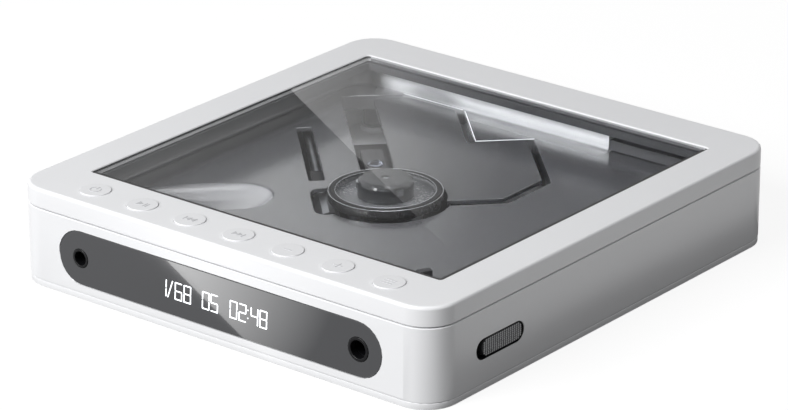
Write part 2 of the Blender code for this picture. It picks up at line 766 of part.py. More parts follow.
def floor_posts():
    """Posts for the main board and the charging board."""
    middle = SHELL_INSIDE_Y - FIT_GAP - CHARGING_BOARD_DEPTH / 2
    reach = CHARGING_BOARD_WIDTH / 2 - BOARD_POST_RADIUS
    places = [(place, MAIN_BOARD_BOTTOM - FIT_GAP) for place in board_post_places()]
    for side in (-1, 1):
        place = (CHARGING_BOARD_CENTRE + side * reach, middle)
        places.append((place, FLOOR_TOP + CHARGING_BOARD_RISE - FIT_GAP))
    low = FLOOR_TOP - OVERLAP
    return [rod(BOARD_POST_RADIUS, low, top, SMALL_ROUND_STEPS, centre=place) for place, top in places]


def battery_ribs():
    (left, front), (right, back) = battery_corners()
    low, high = FLOOR_TOP - OVERLAP, FLOOR_TOP + BATTERY_RIB_HEIGHT
    ribs = []
    for start in (left - FIT_GAP - BATTERY_RIB, right + FIT_GAP):
        ribs.append(block((start, front, low), (start + BATTERY_RIB, back, high)))
    return ribs


def bracket_ledges():
    """Ledges on the rear wall that carry the hinge brackets."""
    ledges = []
    for side in (-1, 1):
        middle = side * HINGE_HALF_SPAN
        front = SHELL_INSIDE_Y - BRACKET_FOOT_DEPTH - FIT_GAP
        low = (middle - KNUCKLE_HALF_WIDTH, front, BRACKET_BASE - BRACKET_LEDGE)
        high = (middle + KNUCKLE_HALF_WIDTH, SHELL_INSIDE_Y + OVERLAP, BRACKET_BASE)
        ledges.append(block(low, high))
    return ledges


def spring_stop():
    """The rib on the side wall that holds the far end of the slider's spring."""
    (_, low), (back, high) = slider_flange()
    face = back + SPRING_LENGTH + 2 * FIT_GAP
    x = SHELL_INSIDE_X - 2 * SPRING_RADIUS - 2 * SPRING_WIRE
    return block((x, face, low), (SHELL_INSIDE_X + OVERLAP, face + SPRING_STOP, high))


def foot_seats():
    top = CASE_BOTTOM + FOOT_SEAT
    radius = FOOT_RADIUS + FIT_GAP
    return [rod(radius, CASE_BOTTOM - OVERRUN, top, centre=place) for place in four(FOOT_X, FOOT_Y)]


def screw_ways():
    """Stepped holes for the case screws: a wide one for the head and a narrow one for the shank."""
    low, seat = CASE_BOTTOM - OVERRUN, CASE_BOTTOM + SCREW_SUNK + SCREW_HEAD_HEIGHT + FIT_GAP
    wide, narrow = SCREW_HEAD_RADIUS + FIT_GAP, SCREW_SHANK_RADIUS + FIT_GAP
    top = FLOOR_TOP + FLOOR_BOSS_HEIGHT + OVERRUN
    profile = [(0, low), (wide, low), (wide, seat), (narrow, seat), (narrow, top), (0, top)]
    return [turned(profile, SMALL_ROUND_STEPS, centre=place) for place in four(SCREW_X, SCREW_Y)]


def panel_recess():
    outline = capsule(PANEL_LENGTH + 2 * THIN_GAP, PANEL_HEIGHT + 2 * THIN_GAP, (0, PANEL_Z))
    return slab(outline, -CASE_Y - OVERRUN, -CASE_Y + PANEL_RECESS, "y")


def panel_windows():
    """Ways through the wall behind the panel, for the display and the two jacks."""
    near, far = -CASE_Y, -SHELL_INSIDE_Y + OVERRUN
    low, high = PANEL_Z - DISPLAY_HALF_HEIGHT, PANEL_Z + DISPLAY_HALF_HEIGHT
    ways = [slab(rectangle(-DISPLAY_HALF_WIDTH, low, DISPLAY_HALF_WIDTH, high), near, far, "y")]
    for x, radius in ((-JACK_X, SMALL_JACK_RING), (JACK_X, LARGE_JACK_RING)):
        ways.append(rod(radius + THIN_GAP, near, far, ROUND_STEPS, "y", (x, PANEL_Z)))
    return together(*ways)


def usb_way():
    middle = (CHARGING_BOARD_CENTRE, usb_middle())
    outline = capsule(USB_WIDTH + 2 * FIT_GAP, USB_HEIGHT + 2 * FIT_GAP, middle, SMALL_CORNER_STEPS)
    return slab(outline, SHELL_INSIDE_Y - OVERRUN, CASE_Y + OVERRUN, "y")


def make_feet():
    corners = ("front_left", "front_right", "rear_right", "rear_left")
    profile = [
        (0, 0),
        (FOOT_RADIUS - FOOT_ROUND, 0),
        (FOOT_RADIUS, FOOT_ROUND),
        (FOOT_RADIUS, CASE_BOTTOM + FOOT_SEAT - FIT_GAP / 2),
        (0, CASE_BOTTOM + FOOT_SEAT - FIT_GAP / 2),
    ]
    for corner, place in zip(corners, four(FOOT_X, FOOT_Y)):
        piece(f"foot_{corner}", turned(profile, centre=place), "black_rubber")


def make_case_screws():
    corners = ("front_left", "front_right", "rear_right", "rear_left")
    low = CASE_BOTTOM + SCREW_SUNK
    under_head, tip = low + SCREW_HEAD_HEIGHT, low + SCREW_LENGTH
    profile = [(0, low), (SCREW_HEAD_RADIUS, low), (SCREW_HEAD_RADIUS, under_head)]
    profile += [(SCREW_SHANK_RADIUS, under_head), (SCREW_SHANK_RADIUS, tip), (0, tip)]
    for corner, place in zip(corners, four(SCREW_X, SCREW_Y)):
        piece(f"case_screw_{corner}", turned(profile, SMALL_ROUND_STEPS, centre=place), "steel")


# The disc tray


def make_disc_tray(mechanism):
    def tray_ring(z, wall=0):
        side, front, back = TRAY_WELL_SIDE + wall, TRAY_WELL_FRONT + wall, TRAY_WELL_BACK + wall
        outline = rounded_rectangle(-side, -front, side, back, TRAY_CORNER + wall)
        return [(a, b, z) for a, b in outline]

    def foot_of_wall(z, inset):
        return tray_ring(z, -inset)

    rings = [tray_ring(TRAY_BOTTOM, TRAY_WALL), tray_ring(TRAY_RIM, TRAY_WALL), tray_ring(TRAY_RIM)]
    rings += rounded_rings(foot_of_wall, TRAY_FLOOR + TRAY_FILLET, TRAY_FLOOR, TRAY_FILLET, 5)
    tray = piece("disc_tray", loft(rings), "dark_tray")
    join(tray, together(*tray_bosses()), rear_flange())
    join(tray, opening_lip(), scoop_shape(SCOOP_WALL, TRAY_BOTTOM + OVERLAP), frame=mechanism)
    cut(tray, *tray_openings(), scoop_shape(0, TRAY_FLOOR + OVERRUN), frame=mechanism)
    cut(tray, together(*boss_bores()), rear_notch(), latch_notch(), plunger_way())


def tray_openings():
    """The polygon over the mechanism, the hub's hole, and the ways over the lead screw and its motor."""
    low, high = -SCREW_SLOT_SIDE - SCREW_SLOT_WIDTH / 2, -SCREW_SLOT_SIDE + SCREW_SLOT_WIDTH / 2
    slot = rectangle(-SCREW_SLOT_FAR, low, -SCREW_SLOT_NEAR, high)
    window = rectangle(-MOTOR_WINDOW_START, -MOTOR_WINDOW_SIDE, MOTOR_WINDOW_END, 0)
    outlines = [
        round_corners(opening_corners(), OPENING_ROUND),
        circle(HUB_HOLE_RADIUS, LARGE_ROUND_STEPS),
        round_corners(slot, SCREW_SLOT_ROUND),
        round_corners(window, MOTOR_WINDOW_ROUND),
    ]
    return [chamfered_hole(outline, LIP_BOTTOM - OVERRUN, TRAY_FLOOR) for outline in outlines]


def rear_flange():
    """The ledge behind the tray's rear wall, which hides the hinge room."""
    low = (-TRAY_SIDE + TRAY_CORNER, TRAY_BACK - OVERLAP, TRAY_RIM - TRAY_FLANGE)
    back = SHELL_INSIDE_Y - BRACKET_FOOT_DEPTH - 2 * FIT_GAP
    return block(low, (REAR_NOTCH_LEFT + OVERRUN, back, TRAY_RIM))


def tray_bosses():
    low = FLOOR_TOP + FLOOR_BOSS_HEIGHT + FIT_GAP
    return [rod(BOSS_RADIUS, low, TRAY_BOTTOM + OVERLAP, centre=place) for place in four(SCREW_X, SCREW_Y)]


def boss_bores():
    low = FLOOR_TOP + FLOOR_BOSS_HEIGHT
    high = CASE_BOTTOM + SCREW_SUNK + SCREW_LENGTH + FIT_GAP
    radius = SCREW_SHANK_RADIUS + THIN_GAP
    return [rod(radius, low, high, SMALL_ROUND_STEPS, centre=place) for place in four(SCREW_X, SCREW_Y)]


def opening_lip():
    """The wall that hangs under the tray around its opening."""
    outline = round_corners(offset_outline(opening_corners(), LIP_WALL), OPENING_ROUND)
    return slab(outline, LIP_BOTTOM, TRAY_BOTTOM + OVERLAP)


def scoop_shape(grow, top):
    """The dished finger scoop, as rings of a long round outline that shrink with depth."""
    depth = SCOOP_DEPTH + grow
    half_width = SCOOP_HALF_WIDTH + grow
    centre = (-SCOOP_OFF_AXIS, -SCOOP_INNER - SCOOP_LENGTH / 2)
    length = SCOOP_LENGTH + 2 * grow
    rings = []
    for depth_share, width_share in ((1, 0.30), (0.93, 0.52), (0.75, 0.72), (0.45, 0.88), (0, 1)):
        shrink = half_width * (1 - width_share)
        outline = capsule(length - 2 * shrink, 2 * half_width * width_share)
        z = TRAY_FLOOR - depth * depth_share
        rings.append([(centre[0] + b, centre[1] + a, z) for a, b in outline])
    rings.append([(x, y, top) for x, y, _ in rings[-1]] if top > TRAY_FLOOR else [])
    return loft([ring for ring in rings if ring])


def rear_notch():
    """The gap in the tray's rear wall in front of the hinge cover."""
    low = (REAR_NOTCH_LEFT, TRAY_WELL_BACK - TRAY_FILLET, TRAY_FLOOR)
    return block(low, (REAR_NOTCH_RIGHT, SHELL_INSIDE_Y, TRAY_RIM + OVERRUN))


def latch_notch():
    """The gap in the tray's right wall where the latch reaches the lid hook."""
    half = HOOK_LENGTH / 2 + SLIDER_TRAVEL + OVERRUN
    low = (TRAY_WELL_SIDE - FIT_GAP, SLIDER_Y - half, TRAY_BOTTOM - OVERRUN)
    return block(low, (TRAY_SIDE + OVERRUN, SLIDER_Y + half, TRAY_RIM + OVERRUN))


def plunger_outline(grow=0):
    length, width = PLUNGER_HALF_LENGTH + grow, PLUNGER_HALF_WIDTH + grow
    turn = Matrix.Rotation(PLUNGER_TURN, 2)
    middle = Vector((SWITCH_X, -SWITCH_Y))
    return [tuple(middle + turn @ Vector(corner)) for corner in rectangle(-length, -width, length, width)]


def plunger_way():
    return slab(plunger_outline(2 * FIT_GAP), TRAY_BOTTOM - OVERRUN, TRAY_FLOOR + OVERRUN)


def make_hinge_cover():
    base = TRAY_FLOOR + FIT_GAP
    back = SHELL_INSIDE_Y - BRACKET_FOOT_DEPTH - FIT_GAP - COVER_REAR_GAP
    low = (REAR_NOTCH_LEFT + FIT_GAP, TRAY_WELL_BACK, base)
    cover = block(low, (REAR_NOTCH_RIGHT - FIT_GAP, back, base + COVER_HEIGHT), BUTTON_ROUND)
    piece("hinge_cover", cover, "black_plastic")


# The lid


def make_lid_frame(lid):
    def outside(z, inset=0):
        return case_ring(CASE_X, CASE_Y, CASE_CORNER, z, inset)

    inner_x, inner_y = CASE_X - LID_WALL, CASE_Y - LID_WALL
    rings = [outside(LID_BOTTOM, RIM_CHAMFER), outside(LID_BOTTOM + RIM_CHAMFER)]
    rings += rounded_rings(outside, LID_TOP - TOP_ROUND, LID_TOP, TOP_ROUND)
    rings += [window_ring(LID_TOP, RIM_CHAMFER), window_ring(LID_TOP - RIM_CHAMFER)]
    rings.append(window_ring(LID_CEILING))
    rings += [case_ring(inner_x, inner_y, LID_INSIDE_CORNER, z) for z in (LID_CEILING, LID_BOTTOM)]
    frame = piece("lid_frame", loft(rings, ring_shaped=True), "white_shell", lid, LID_AXIS)
    join(frame, together(*hinge_lugs()))
    cut(frame, together(*button_ways()), rear_rounding())
    cut(frame, together(*bracket_notches()), together(*lug_bores()))


def button_ways():
    radius, low, high = BUTTON_RADIUS + THIN_GAP, LID_CEILING - OVERLAP, LID_TOP + OVERRUN
    return [rod(radius, low, high, centre=place) for place in button_places()]


def rear_rounding():
    """What is cut from the lid's rear lower edge, so that it turns clear of the shell."""
    curve = arc((HINGE_Y, HINGE_Z), HINGE_FROM_BACK, -math.pi / 2, 0, 6)
    far = CASE_Y + OVERRUN
    outline = curve + [(far, HINGE_Z), (far, LID_BOTTOM - OVERRUN), (HINGE_Y, LID_BOTTOM - OVERRUN)]
    return slab(outline, -CASE_X - OVERRUN, CASE_X + OVERRUN, "x")


def lug_spans():
    """Ends along X of the lugs on either side of each bracket."""
    reach = KNUCKLE_HALF_WIDTH + FIT_GAP
    for side in (-1, 1):
        middle = side * HINGE_HALF_SPAN
        yield middle - reach - LUG_WIDTH, middle - reach
        yield middle + reach, middle + reach + LUG_WIDTH


def hinge_lugs():
    top = LID_CEILING + OVERLAP
    below = arc((HINGE_Y, HINGE_Z), LUG_RADIUS, -math.pi, 0, 10)
    outline = below + [(HINGE_Y + LUG_RADIUS, top), (HINGE_Y - LUG_RADIUS, top)]
    return [slab(outline, left, right, "x") for left, right in lug_spans()]


def lug_bores():
    bores = []
    for left, right in lug_spans():
        low, high = left - THIN_GAP, right + THIN_GAP
        bores.append(rod(PIN_BORE, low, high, SMALL_ROUND_STEPS, "x", (HINGE_Y, HINGE_Z)))
    return bores


def bracket_notches():
    """Notches in the lid's rear wall, through which the brackets reach the hinge axis."""
    notches = []
    reach = KNUCKLE_HALF_WIDTH + FIT_GAP
    for side in (-1, 1):
        middle = side * HINGE_HALF_SPAN
        low = (middle - reach, HINGE_Y, LID_BOTTOM - OVERRUN)
        notches.append(block(low, (middle + reach, CASE_Y + OVERRUN, LID_CEILING)))
    return notches


def make_lid_window(lid):
    top = LID_TOP - GLASS_SUNK
    rings = [window_ring(z, -GLASS_GAP) for z in (GLASS_BOTTOM, top - THIN_GAP)]
    rings.append(window_ring(top, -GLASS_GAP - THIN_GAP))
    piece("lid_window", loft(rings), "tinted_glass", lid, LID_AXIS)


def make_lid_liner(lid):
    """The dark inner cover: a plate with an upstand around the window that the pane rests on."""
    side, front = CASE_X - LID_WALL - FIT_GAP, CASE_Y - LID_WALL - FIT_GAP
    back = HINGE_Y - HINGE_FROM_BACK - FIT_GAP
    corner = LID_INSIDE_CORNER - FIT_GAP
    outer = rounded_rectangle(-side, -front, side, back, corner)
    seat = GLASS_BOTTOM - FIT_GAP
    rings = [window_ring(z, -GLASS_LEDGE) for z in (LINER_BOTTOM, seat)]
    rings += [window_ring(z, LINER_UPSTAND) for z in (seat, LINER_TOP)]
    rings += [[(a, b, z) for a, b in outer] for z in (LINER_TOP, LINER_BOTTOM)]
    piece("lid_liner", loft(rings, ring_shaped=True), "dark_liner", lid, LID_AXIS)


def button_heights():
    """Top and bottom of a button's flange."""
    top = LID_CEILING - BUTTON_FLANGE_GAP
    return top, top - BUTTON_FLANGE_HEIGHT


def make_button_board(lid):
    _, flange_bottom = button_heights()
    top = flange_bottom - BUTTON_TRAVEL - THIN_GAP / 2
    reach = CASE_X - BUTTON_BOARD_END
    front, back = -CASE_Y + LID_WALL + FIT_GAP, WINDOW_FRONT_Y - LINER_UPSTAND - FIT_GAP
    plate = block((-reach, front, top - BUTTON_BOARD), (reach, back, top))
    board = piece("button_board", plate, "circuit_board", lid, LID_AXIS)
    low, high = top - OVERLAP / 2, top + DOME_HEIGHT
    profile = [(0, low), (DOME_RADIUS, low), (DOME_RADIUS, top), (DOME_RADIUS / 2, high), (0, high)]
    join(board, together(*[turned(profile, SMALL_ROUND_STEPS, centre=place) for place in button_places()]))


def make_buttons(lid):
    names = ("power", "play", "previous", "next", "minus", "plus", "menu")
    top, flange_bottom = LID_TOP + THIN_GAP / 2, button_heights()[1]
    flange_top = button_heights()[0]
    flange = BUTTON_RADIUS + BUTTON_FLANGE
    profile = [
        (0, top),
        (BUTTON_RADIUS - BUTTON_ROUND, top),
        (BUTTON_RADIUS, top - BUTTON_ROUND),
        (BUTTON_RADIUS, flange_top),
        (flange, flange_top),
        (flange, flange_bottom),
        (BUTTON_WELL_RADIUS, flange_bottom),
        (BUTTON_WELL_RADIUS, flange_bottom + BUTTON_WELL),
        (0, flange_bottom + BUTTON_WELL),
    ]
    for name, place in zip(names, button_places()):
        piece(f"button_{name}", turned(profile, centre=place), "white_button", lid, (*place, top))


def make_lid_hook(lid):
    """The hook under the lid liner that the latch would hold."""
    top = LINER_BOTTOM - FIT_GAP
    bottom = TRAY_FLOOR + HOOK_ABOVE_FLOOR
    right = TRAY_WELL_SIDE - 2 * FIT_GAP - HOOK_TOOTH
    left = right - HOOK_THICKNESS
    outline = [
        (left, bottom),
        (right, bottom),
        (right + HOOK_TOOTH, bottom + HOOK_TOOTH_HEIGHT / 2),
        (right + HOOK_TOOTH, bottom + HOOK_TOOTH_HEIGHT),
        (right, bottom + HOOK_TOOTH_HEIGHT),
        (right, top - HOOK_THICKNESS),
        (right + HOOK_TOOTH, top - HOOK_THICKNESS),
        (right + HOOK_TOOTH, top),
        (left - HOOK_THICKNESS, top),
        (left - HOOK_THICKNESS, top - HOOK_THICKNESS),
        (left, top - HOOK_THICKNESS),
    ]
    half = HOOK_LENGTH / 2
    rings = [[(x, SLIDER_Y + side * half, z) for x, z in outline] for side in (-1, 1)]
    piece("lid_hook", loft(rings), "black_plastic", lid, LID_AXIS)


# The hinge


def make_hinges():
    for side, name in ((-1, "left"), (1, "right")):
        middle = side * HINGE_HALF_SPAN
        low, high = middle - KNUCKLE_HALF_WIDTH, middle + KNUCKLE_HALF_WIDTH
        bracket = piece(f"hinge_bracket_{name}", slab(bracket_outline(), low, high, "x"), "chassis_steel")
        axis = (HINGE_Y, HINGE_Z)
        cut(bracket, rod(PIN_BORE, low - OVERRUN, high + OVERRUN, SMALL_ROUND_STEPS, "x", axis))
        reach = KNUCKLE_HALF_WIDTH + FIT_GAP + LUG_WIDTH
        pin = rod(PIN_RADIUS, middle - reach, middle + reach, SMALL_ROUND_STEPS, "x", axis)
        piece(f"hinge_pin_{name}", pin, "steel", None, (middle, HINGE_Y, HINGE_Z))


def bracket_outline():
    """Side view of a bracket: a foot on the ledge, a post by the rear wall, and a knuckle."""
    back = SHELL_INSIDE_Y - FIT_GAP
    front = back - POST_THICKNESS
    base = BRACKET_BASE + FIT_GAP
    drop = math.sqrt(KNUCKLE_RADIUS**2 - min(abs(back - HINGE_Y), KNUCKLE_RADIUS * STEEP_SHARE) ** 2)
    start = math.atan2(-drop, back - HINGE_Y)
    lean = HINGE_Y - front
    reach = math.sqrt(max(KNUCKLE_RADIUS**2 - lean**2, 0))
    end = math.pi + math.atan2(reach, lean)
    knuckle = arc((HINGE_Y, HINGE_Z), KNUCKLE_RADIUS, start, end, SMALL_ROUND_STEPS)
    toe, top = back - BRACKET_FOOT_DEPTH, base + BRACKET_FOOT
    return knuckle + [(front, top), (toe, top), (toe, base), (back, base)]


# Front panel, jacks and display


def make_front_panel():
    far = -CASE_Y + PANEL_THICKNESS
    rings = []
    for y, inset in ((-CASE_Y, THIN_GAP), (-CASE_Y + THIN_GAP, 0), (far, 0)):
        outline = capsule(PANEL_LENGTH - 2 * inset, PANEL_HEIGHT - 2 * inset, (0, PANEL_Z))
        rings.append([(x, y, z) for x, z in outline])
    panel = piece("front_panel", loft(rings), "dark_panel")
    for x, radius in ((-JACK_X, SMALL_JACK_RING), (JACK_X, LARGE_JACK_RING)):
        cut(panel, rod(radius + THIN_GAP, -CASE_Y - OVERRUN, far + OVERRUN, ROUND_STEPS, "y", (x, PANEL_Z)))


def make_jacks():
    for name, x, bore, ring in (
        ("headphone_jack", -JACK_X, SMALL_JACK_BORE, SMALL_JACK_RING),
        ("balanced_jack", JACK_X, LARGE_JACK_BORE, LARGE_JACK_RING),
    ):
        front = -SHELL_INSIDE_Y + FIT_GAP
        back = front + JACK_DEPTH
        low = (x - JACK_HALF_SIDE, front, PANEL_Z - JACK_HALF_SIDE)
        high = (x + JACK_HALF_SIDE, back, PANEL_Z + JACK_HALF_SIDE)
        body = piece(name, block(low, high), "black_plastic")
        cut(body, rod(bore, front - OVERRUN, back - JACK_WALL_BEHIND, ROUND_STEPS, "y", (x, PANEL_Z)))
        piece(f"{name}_ring", jack_ring(x, bore, ring), "steel")


def jack_ring(x, bore, ring):
    """The metal ring around a jack's mouth, with its front edges rounded."""
    end, lip = -SHELL_INSIDE_Y, -CASE_Y - RING_PROUD
    shoulder = lip + RING_ROUND
    profile = [(bore, end), (ring, end), (ring, shoulder)]
    profile += [(ring - RING_ROUND, lip), (bore + RING_ROUND, lip), (bore, shoulder)]
    return turned(profile, ROUND_STEPS, "y", (x, PANEL_Z), bored=True)


def make_display_module():
    half_width, half_height = DISPLAY_HALF_WIDTH - FIT_GAP, DISPLAY_HALF_HEIGHT - FIT_GAP
    low = (-half_width, DISPLAY_BACK - DISPLAY_DEPTH, PANEL_Z - half_height)
    module = block(low, (half_width, DISPLAY_BACK, PANEL_Z + half_height))
    piece("display_module", module, "black_plastic")


# Boards, battery and ports


def make_main_board():
    front = DISPLAY_BACK + FIT_GAP
    back = front + MAIN_BOARD_DEPTH
    low = (-MAIN_BOARD_HALF_WIDTH, front, MAIN_BOARD_BOTTOM)
    board = piece("main_board", block(low, (MAIN_BOARD_HALF_WIDTH, back, MAIN_BOARD_TOP)), "circuit_board")
    chips = []
    for i in (-1, 0, 1):
        x, y = i * CHIP_SPACING, back - 2 * CHIP_HALF_SIDE
        low = (x - CHIP_HALF_SIDE, y - CHIP_HALF_SIDE, MAIN_BOARD_TOP - OVERLAP)
        chips.append(block(low, (x + CHIP_HALF_SIDE, y + CHIP_HALF_SIDE, MAIN_BOARD_TOP + CHIP_HEIGHT)))
    join(board, together(*chips))


def make_battery():
    (left, front), (right, back) = battery_corners()
    bottom = FLOOR_TOP + FIT_GAP
    pack = block((left, front, bottom), (right, back, bottom + BATTERY_HEIGHT), BATTERY_ROUND)
    piece("battery", pack, "battery_wrap")


def usb_middle():
    return FLOOR_TOP + CHARGING_BOARD_RISE + BOARD_THICKNESS + FIT_GAP + USB_HEIGHT / 2


def make_charging_board():
    half = CHARGING_BOARD_WIDTH / 2
    back = SHELL_INSIDE_Y - FIT_GAP
    bottom = FLOOR_TOP + CHARGING_BOARD_RISE
    low = (CHARGING_BOARD_CENTRE - half, back - CHARGING_BOARD_DEPTH, bottom)
    board = block(low, (CHARGING_BOARD_CENTRE + half, back, bottom + BOARD_THICKNESS))
    piece("charging_board", board, "circuit_board")


def make_usb_port():
    middle, z = CHARGING_BOARD_CENTRE, usb_middle()
    mouth = CASE_Y - USB_SUNK
    outline = capsule(USB_WIDTH, USB_HEIGHT, (middle, z), SMALL_CORNER_STEPS)
    port = piece("usb_c_port", slab(outline, mouth - USB_DEPTH, mouth, "y"), "steel")
    pocket = capsule(USB_WIDTH - 2 * USB_WALL, USB_HEIGHT - 2 * USB_WALL, (middle, z), SMALL_CORNER_STEPS)
    cut(port, slab(pocket, mouth - USB_POCKET, mouth + OVERRUN, "y"))
    half, rise, root = USB_TONGUE_WIDTH / 2, USB_TONGUE_HEIGHT / 2, mouth - USB_POCKET
    low = (middle - half, root - OVERLAP, z - rise)
    join(port, block(low, (middle + half, root + USB_TONGUE_LENGTH, z + rise)))


# The open slider and the lid switch


def make_open_slider():
    (front, low), (back, high) = slider_flange()
    outer, inner = CASE_X - SLIDER_SUNK, SHELL_INSIDE_X - FIT_GAP
    rings = []
    for x, inset in ((outer, SLIDER_ROUND), (outer - SLIDER_ROUND, 0), (inner - FLANGE_THICKNESS / 2, 0)):
        outline = capsule(SLIDER_LENGTH - 2 * inset, SLIDER_HEIGHT - 2 * inset, (SLIDER_Y, SLIDER_Z))
        rings.append([(x, y, z) for y, z in outline])
    flange = block((inner - FLANGE_THICKNESS, front, low), (inner, back, high))
    slider = piece("open_slider", flange, "slider_grey", None, (CASE_X, SLIDER_Y, SLIDER_Z))
    tooth_top = TRAY_FLOOR + HOOK_ABOVE_FLOOR + HOOK_TOOTH_HEIGHT + FIT_GAP + TOOTH_HEIGHT
    arm_low = (inner - ARM_THICKNESS, SLIDER_Y - ARM_LENGTH / 2, high - OVERLAP)
    join(slider, loft(rings), block(arm_low, (inner, SLIDER_Y + ARM_LENGTH / 2, tooth_top)))


def make_slider_spring():
    """The spring behind the slider, which pulls it back."""
    _, (back, _) = slider_flange()
    x = SHELL_INSIDE_X - FIT_GAP - SPRING_RADIUS - SPRING_WIRE
    start = (x, back + FIT_GAP + SPRING_WIRE, SLIDER_Z)
    spring = coil(SPRING_RADIUS, SPRING_WIRE, SPRING_LENGTH - 2 * SPRING_WIRE, SPRING_TURNS, start)
    piece("slider_spring", spring, "steel")


def make_lid_switch():
    bottom = MAIN_BOARD_TOP + FIT_GAP
    top = bottom + SWITCH_HEIGHT
    half = SWITCH_HALF_SIDE
    case = block((SWITCH_X - half, -SWITCH_Y - half, bottom), (SWITCH_X + half, -SWITCH_Y + half, top))
    body = piece("lid_switch", case, "black_plastic")
    cut(body, slab(plunger_outline(FIT_GAP), bottom + SWITCH_FLOOR, top + OVERRUN))
    foot = bottom + SWITCH_FLOOR + SWITCH_TRAVEL + FIT_GAP
    plunger = slab(plunger_outline(), foot, LID_BOTTOM + PLUNGER_BELOW_RIM)
    piece("lid_switch_plunger", plunger, "black_plastic", None, (SWITCH_X, -SWITCH_Y, foot))


# The disc mechanism


def make_traverse_chassis(mechanism):
    outline = rectangle(-CHASSIS_FAR, -CHASSIS_SIDE, CHASSIS_NEAR, CHASSIS_SIDE)
    plate = slab(round_corners(outline, CHASSIS_CORNER), CHASSIS_BOTTOM, CHASSIS_TOP)
    chassis = piece("traverse_chassis", plate, "chassis_steel", mechanism)
    join(chassis, together(*chassis_tabs()), frame=mechanism)
    radius, low, high = DAMPER_WAIST + FIT_GAP, CHASSIS_BOTTOM - OVERRUN, CHASSIS_TOP + OVERRUN
    holes = [rod(radius, low, high, SMALL_ROUND_STEPS, centre=place) for place in damper_places()]
    bores = rod_bores(-CHASSIS_FAR - OVERRUN, -TAB_NEAR + OVERRUN)
    cut(chassis, together(*bores), together(*holes), frame=mechanism)


def rod_lines():
    """Side and height of the lead screw and of the guide rod."""
    return ((-SCREW_SIDE, SCREW_Z), (GUIDE_SIDE, ROD_Z))


def rod_bores(low, high):
    return [rod(ROD_RADIUS + THIN_GAP, low, high, SMALL_ROUND_STEPS, "x", line) for line in rod_lines()]


def chassis_tabs():
    """Upright tabs that hold the ends of the guide rod and the lead screw."""
    tabs = []
    for side, height in rod_lines():
        for near in (-CHASSIS_FAR + TAB_THICKNESS, -TAB_NEAR):
            low = (near - TAB_THICKNESS + FIT_GAP, side - TAB_HALF_WIDTH, CHASSIS_TOP - OVERLAP)
            tabs.append(block(low, (near, side + TAB_HALF_WIDTH, height + TAB_TOP)))
    return tabs


def make_dampers(mechanism):
    bottom = FLOOR_TOP + THIN_GAP
    waist_low, waist_high = CHASSIS_BOTTOM - THIN_GAP, CHASSIS_TOP + THIN_GAP
    top = waist_high + DAMPER_FLANGE
    profile = [
        (DAMPER_BORE, bottom),
        (DAMPER_RADIUS, bottom),
        (DAMPER_RADIUS, waist_low),
        (DAMPER_WAIST, waist_low),
        (DAMPER_WAIST, waist_high),
        (DAMPER_RADIUS, waist_high),
        (DAMPER_RADIUS, top),
        (DAMPER_BORE, top),
    ]
    for name, place in zip(("outer", "left", "right"), damper_places()):
        damper = turned(profile, SMALL_ROUND_STEPS, centre=place, bored=True)
        piece(f"damper_{name}", damper, "black_rubber", mechanism)


def damper_pegs():
    """Pegs on the shell's floor that the dampers sit on."""
    low, high = FLOOR_TOP - OVERLAP, CHASSIS_TOP + DAMPER_FLANGE
    return [rod(PEG_RADIUS, low, high, SMALL_ROUND_STEPS, centre=place) for place in damper_places()]


def make_mechanism_deck(mechanism):
    """The cover plate that floats in the tray's opening, on legs that stand on the chassis."""
    rings = []
    for z, inset in ((DECK_BOTTOM, 0), (DECK_TOP - OPENING_CHAMFER, 0), (DECK_TOP, OPENING_CHAMFER)):
        corners = opening_corners(DECK_GAP + inset, DECK_FAR_GAP + inset, SLOT_HALF_WIDTH + inset)
        rings.append([(a, b, z) for a, b in round_corners(corners, OPENING_ROUND)])
    deck = piece("mechanism_deck", loft(rings), "dark_tray", mechanism)
    low, high = CHASSIS_TOP + THIN_GAP, DECK_BOTTOM + OVERLAP
    places = [(-out, DECK_LEG_SIDE) for out in (0, LENS_REST, LENS_OUTER)]
    legs = [rod(DECK_LEG_RADIUS, low, high, SMALL_ROUND_STEPS, centre=place) for place in places]
    join(deck, together(*legs), frame=mechanism)
    radius = TURNTABLE_RADIUS + OVERRUN
    cut(deck, rod(radius, DECK_BOTTOM - OVERRUN, DECK_TOP + OVERRUN, LARGE_ROUND_STEPS), frame=mechanism)


def make_spindle(mechanism):
    bore, bore_floor = SHAFT_RADIUS + THIN_GAP, MOTOR_BOTTOM + MOTOR_HEIGHT / 4
    boss_top = MOTOR_TOP + MOTOR_BOSS_HEIGHT
    profile = [
        (0, MOTOR_BOTTOM),
        (MOTOR_RADIUS, MOTOR_BOTTOM),
        (MOTOR_RADIUS, MOTOR_TOP - MOTOR_CHAMFER),
        (MOTOR_RADIUS - MOTOR_CHAMFER, MOTOR_TOP),
        (MOTOR_BOSS_RADIUS, MOTOR_TOP),
        (MOTOR_BOSS_RADIUS, boss_top),
        (bore, boss_top),
        (bore, bore_floor),
        (0, bore_floor),
    ]
    piece("spindle_motor", turned(profile), "steel", mechanism)
    shaft = rod(SHAFT_RADIUS, bore_floor + FIT_GAP, hub_top() - FIT_GAP, SMALL_ROUND_STEPS)
    piece("spindle_shaft", shaft, "steel", mechanism)


def hub_top():
    return DISC_SEAT + HUB_PROUD


def turntable_levels():
    """Heights of the turntable's underside, its well floor, its mat seat and its lip."""
    seat = DISC_SEAT - MAT_THICKNESS - THIN_GAP
    return TRAY_FLOOR - TURNTABLE_DROP, seat - TURNTABLE_WELL, seat, seat + TURNTABLE_LIP_HEIGHT


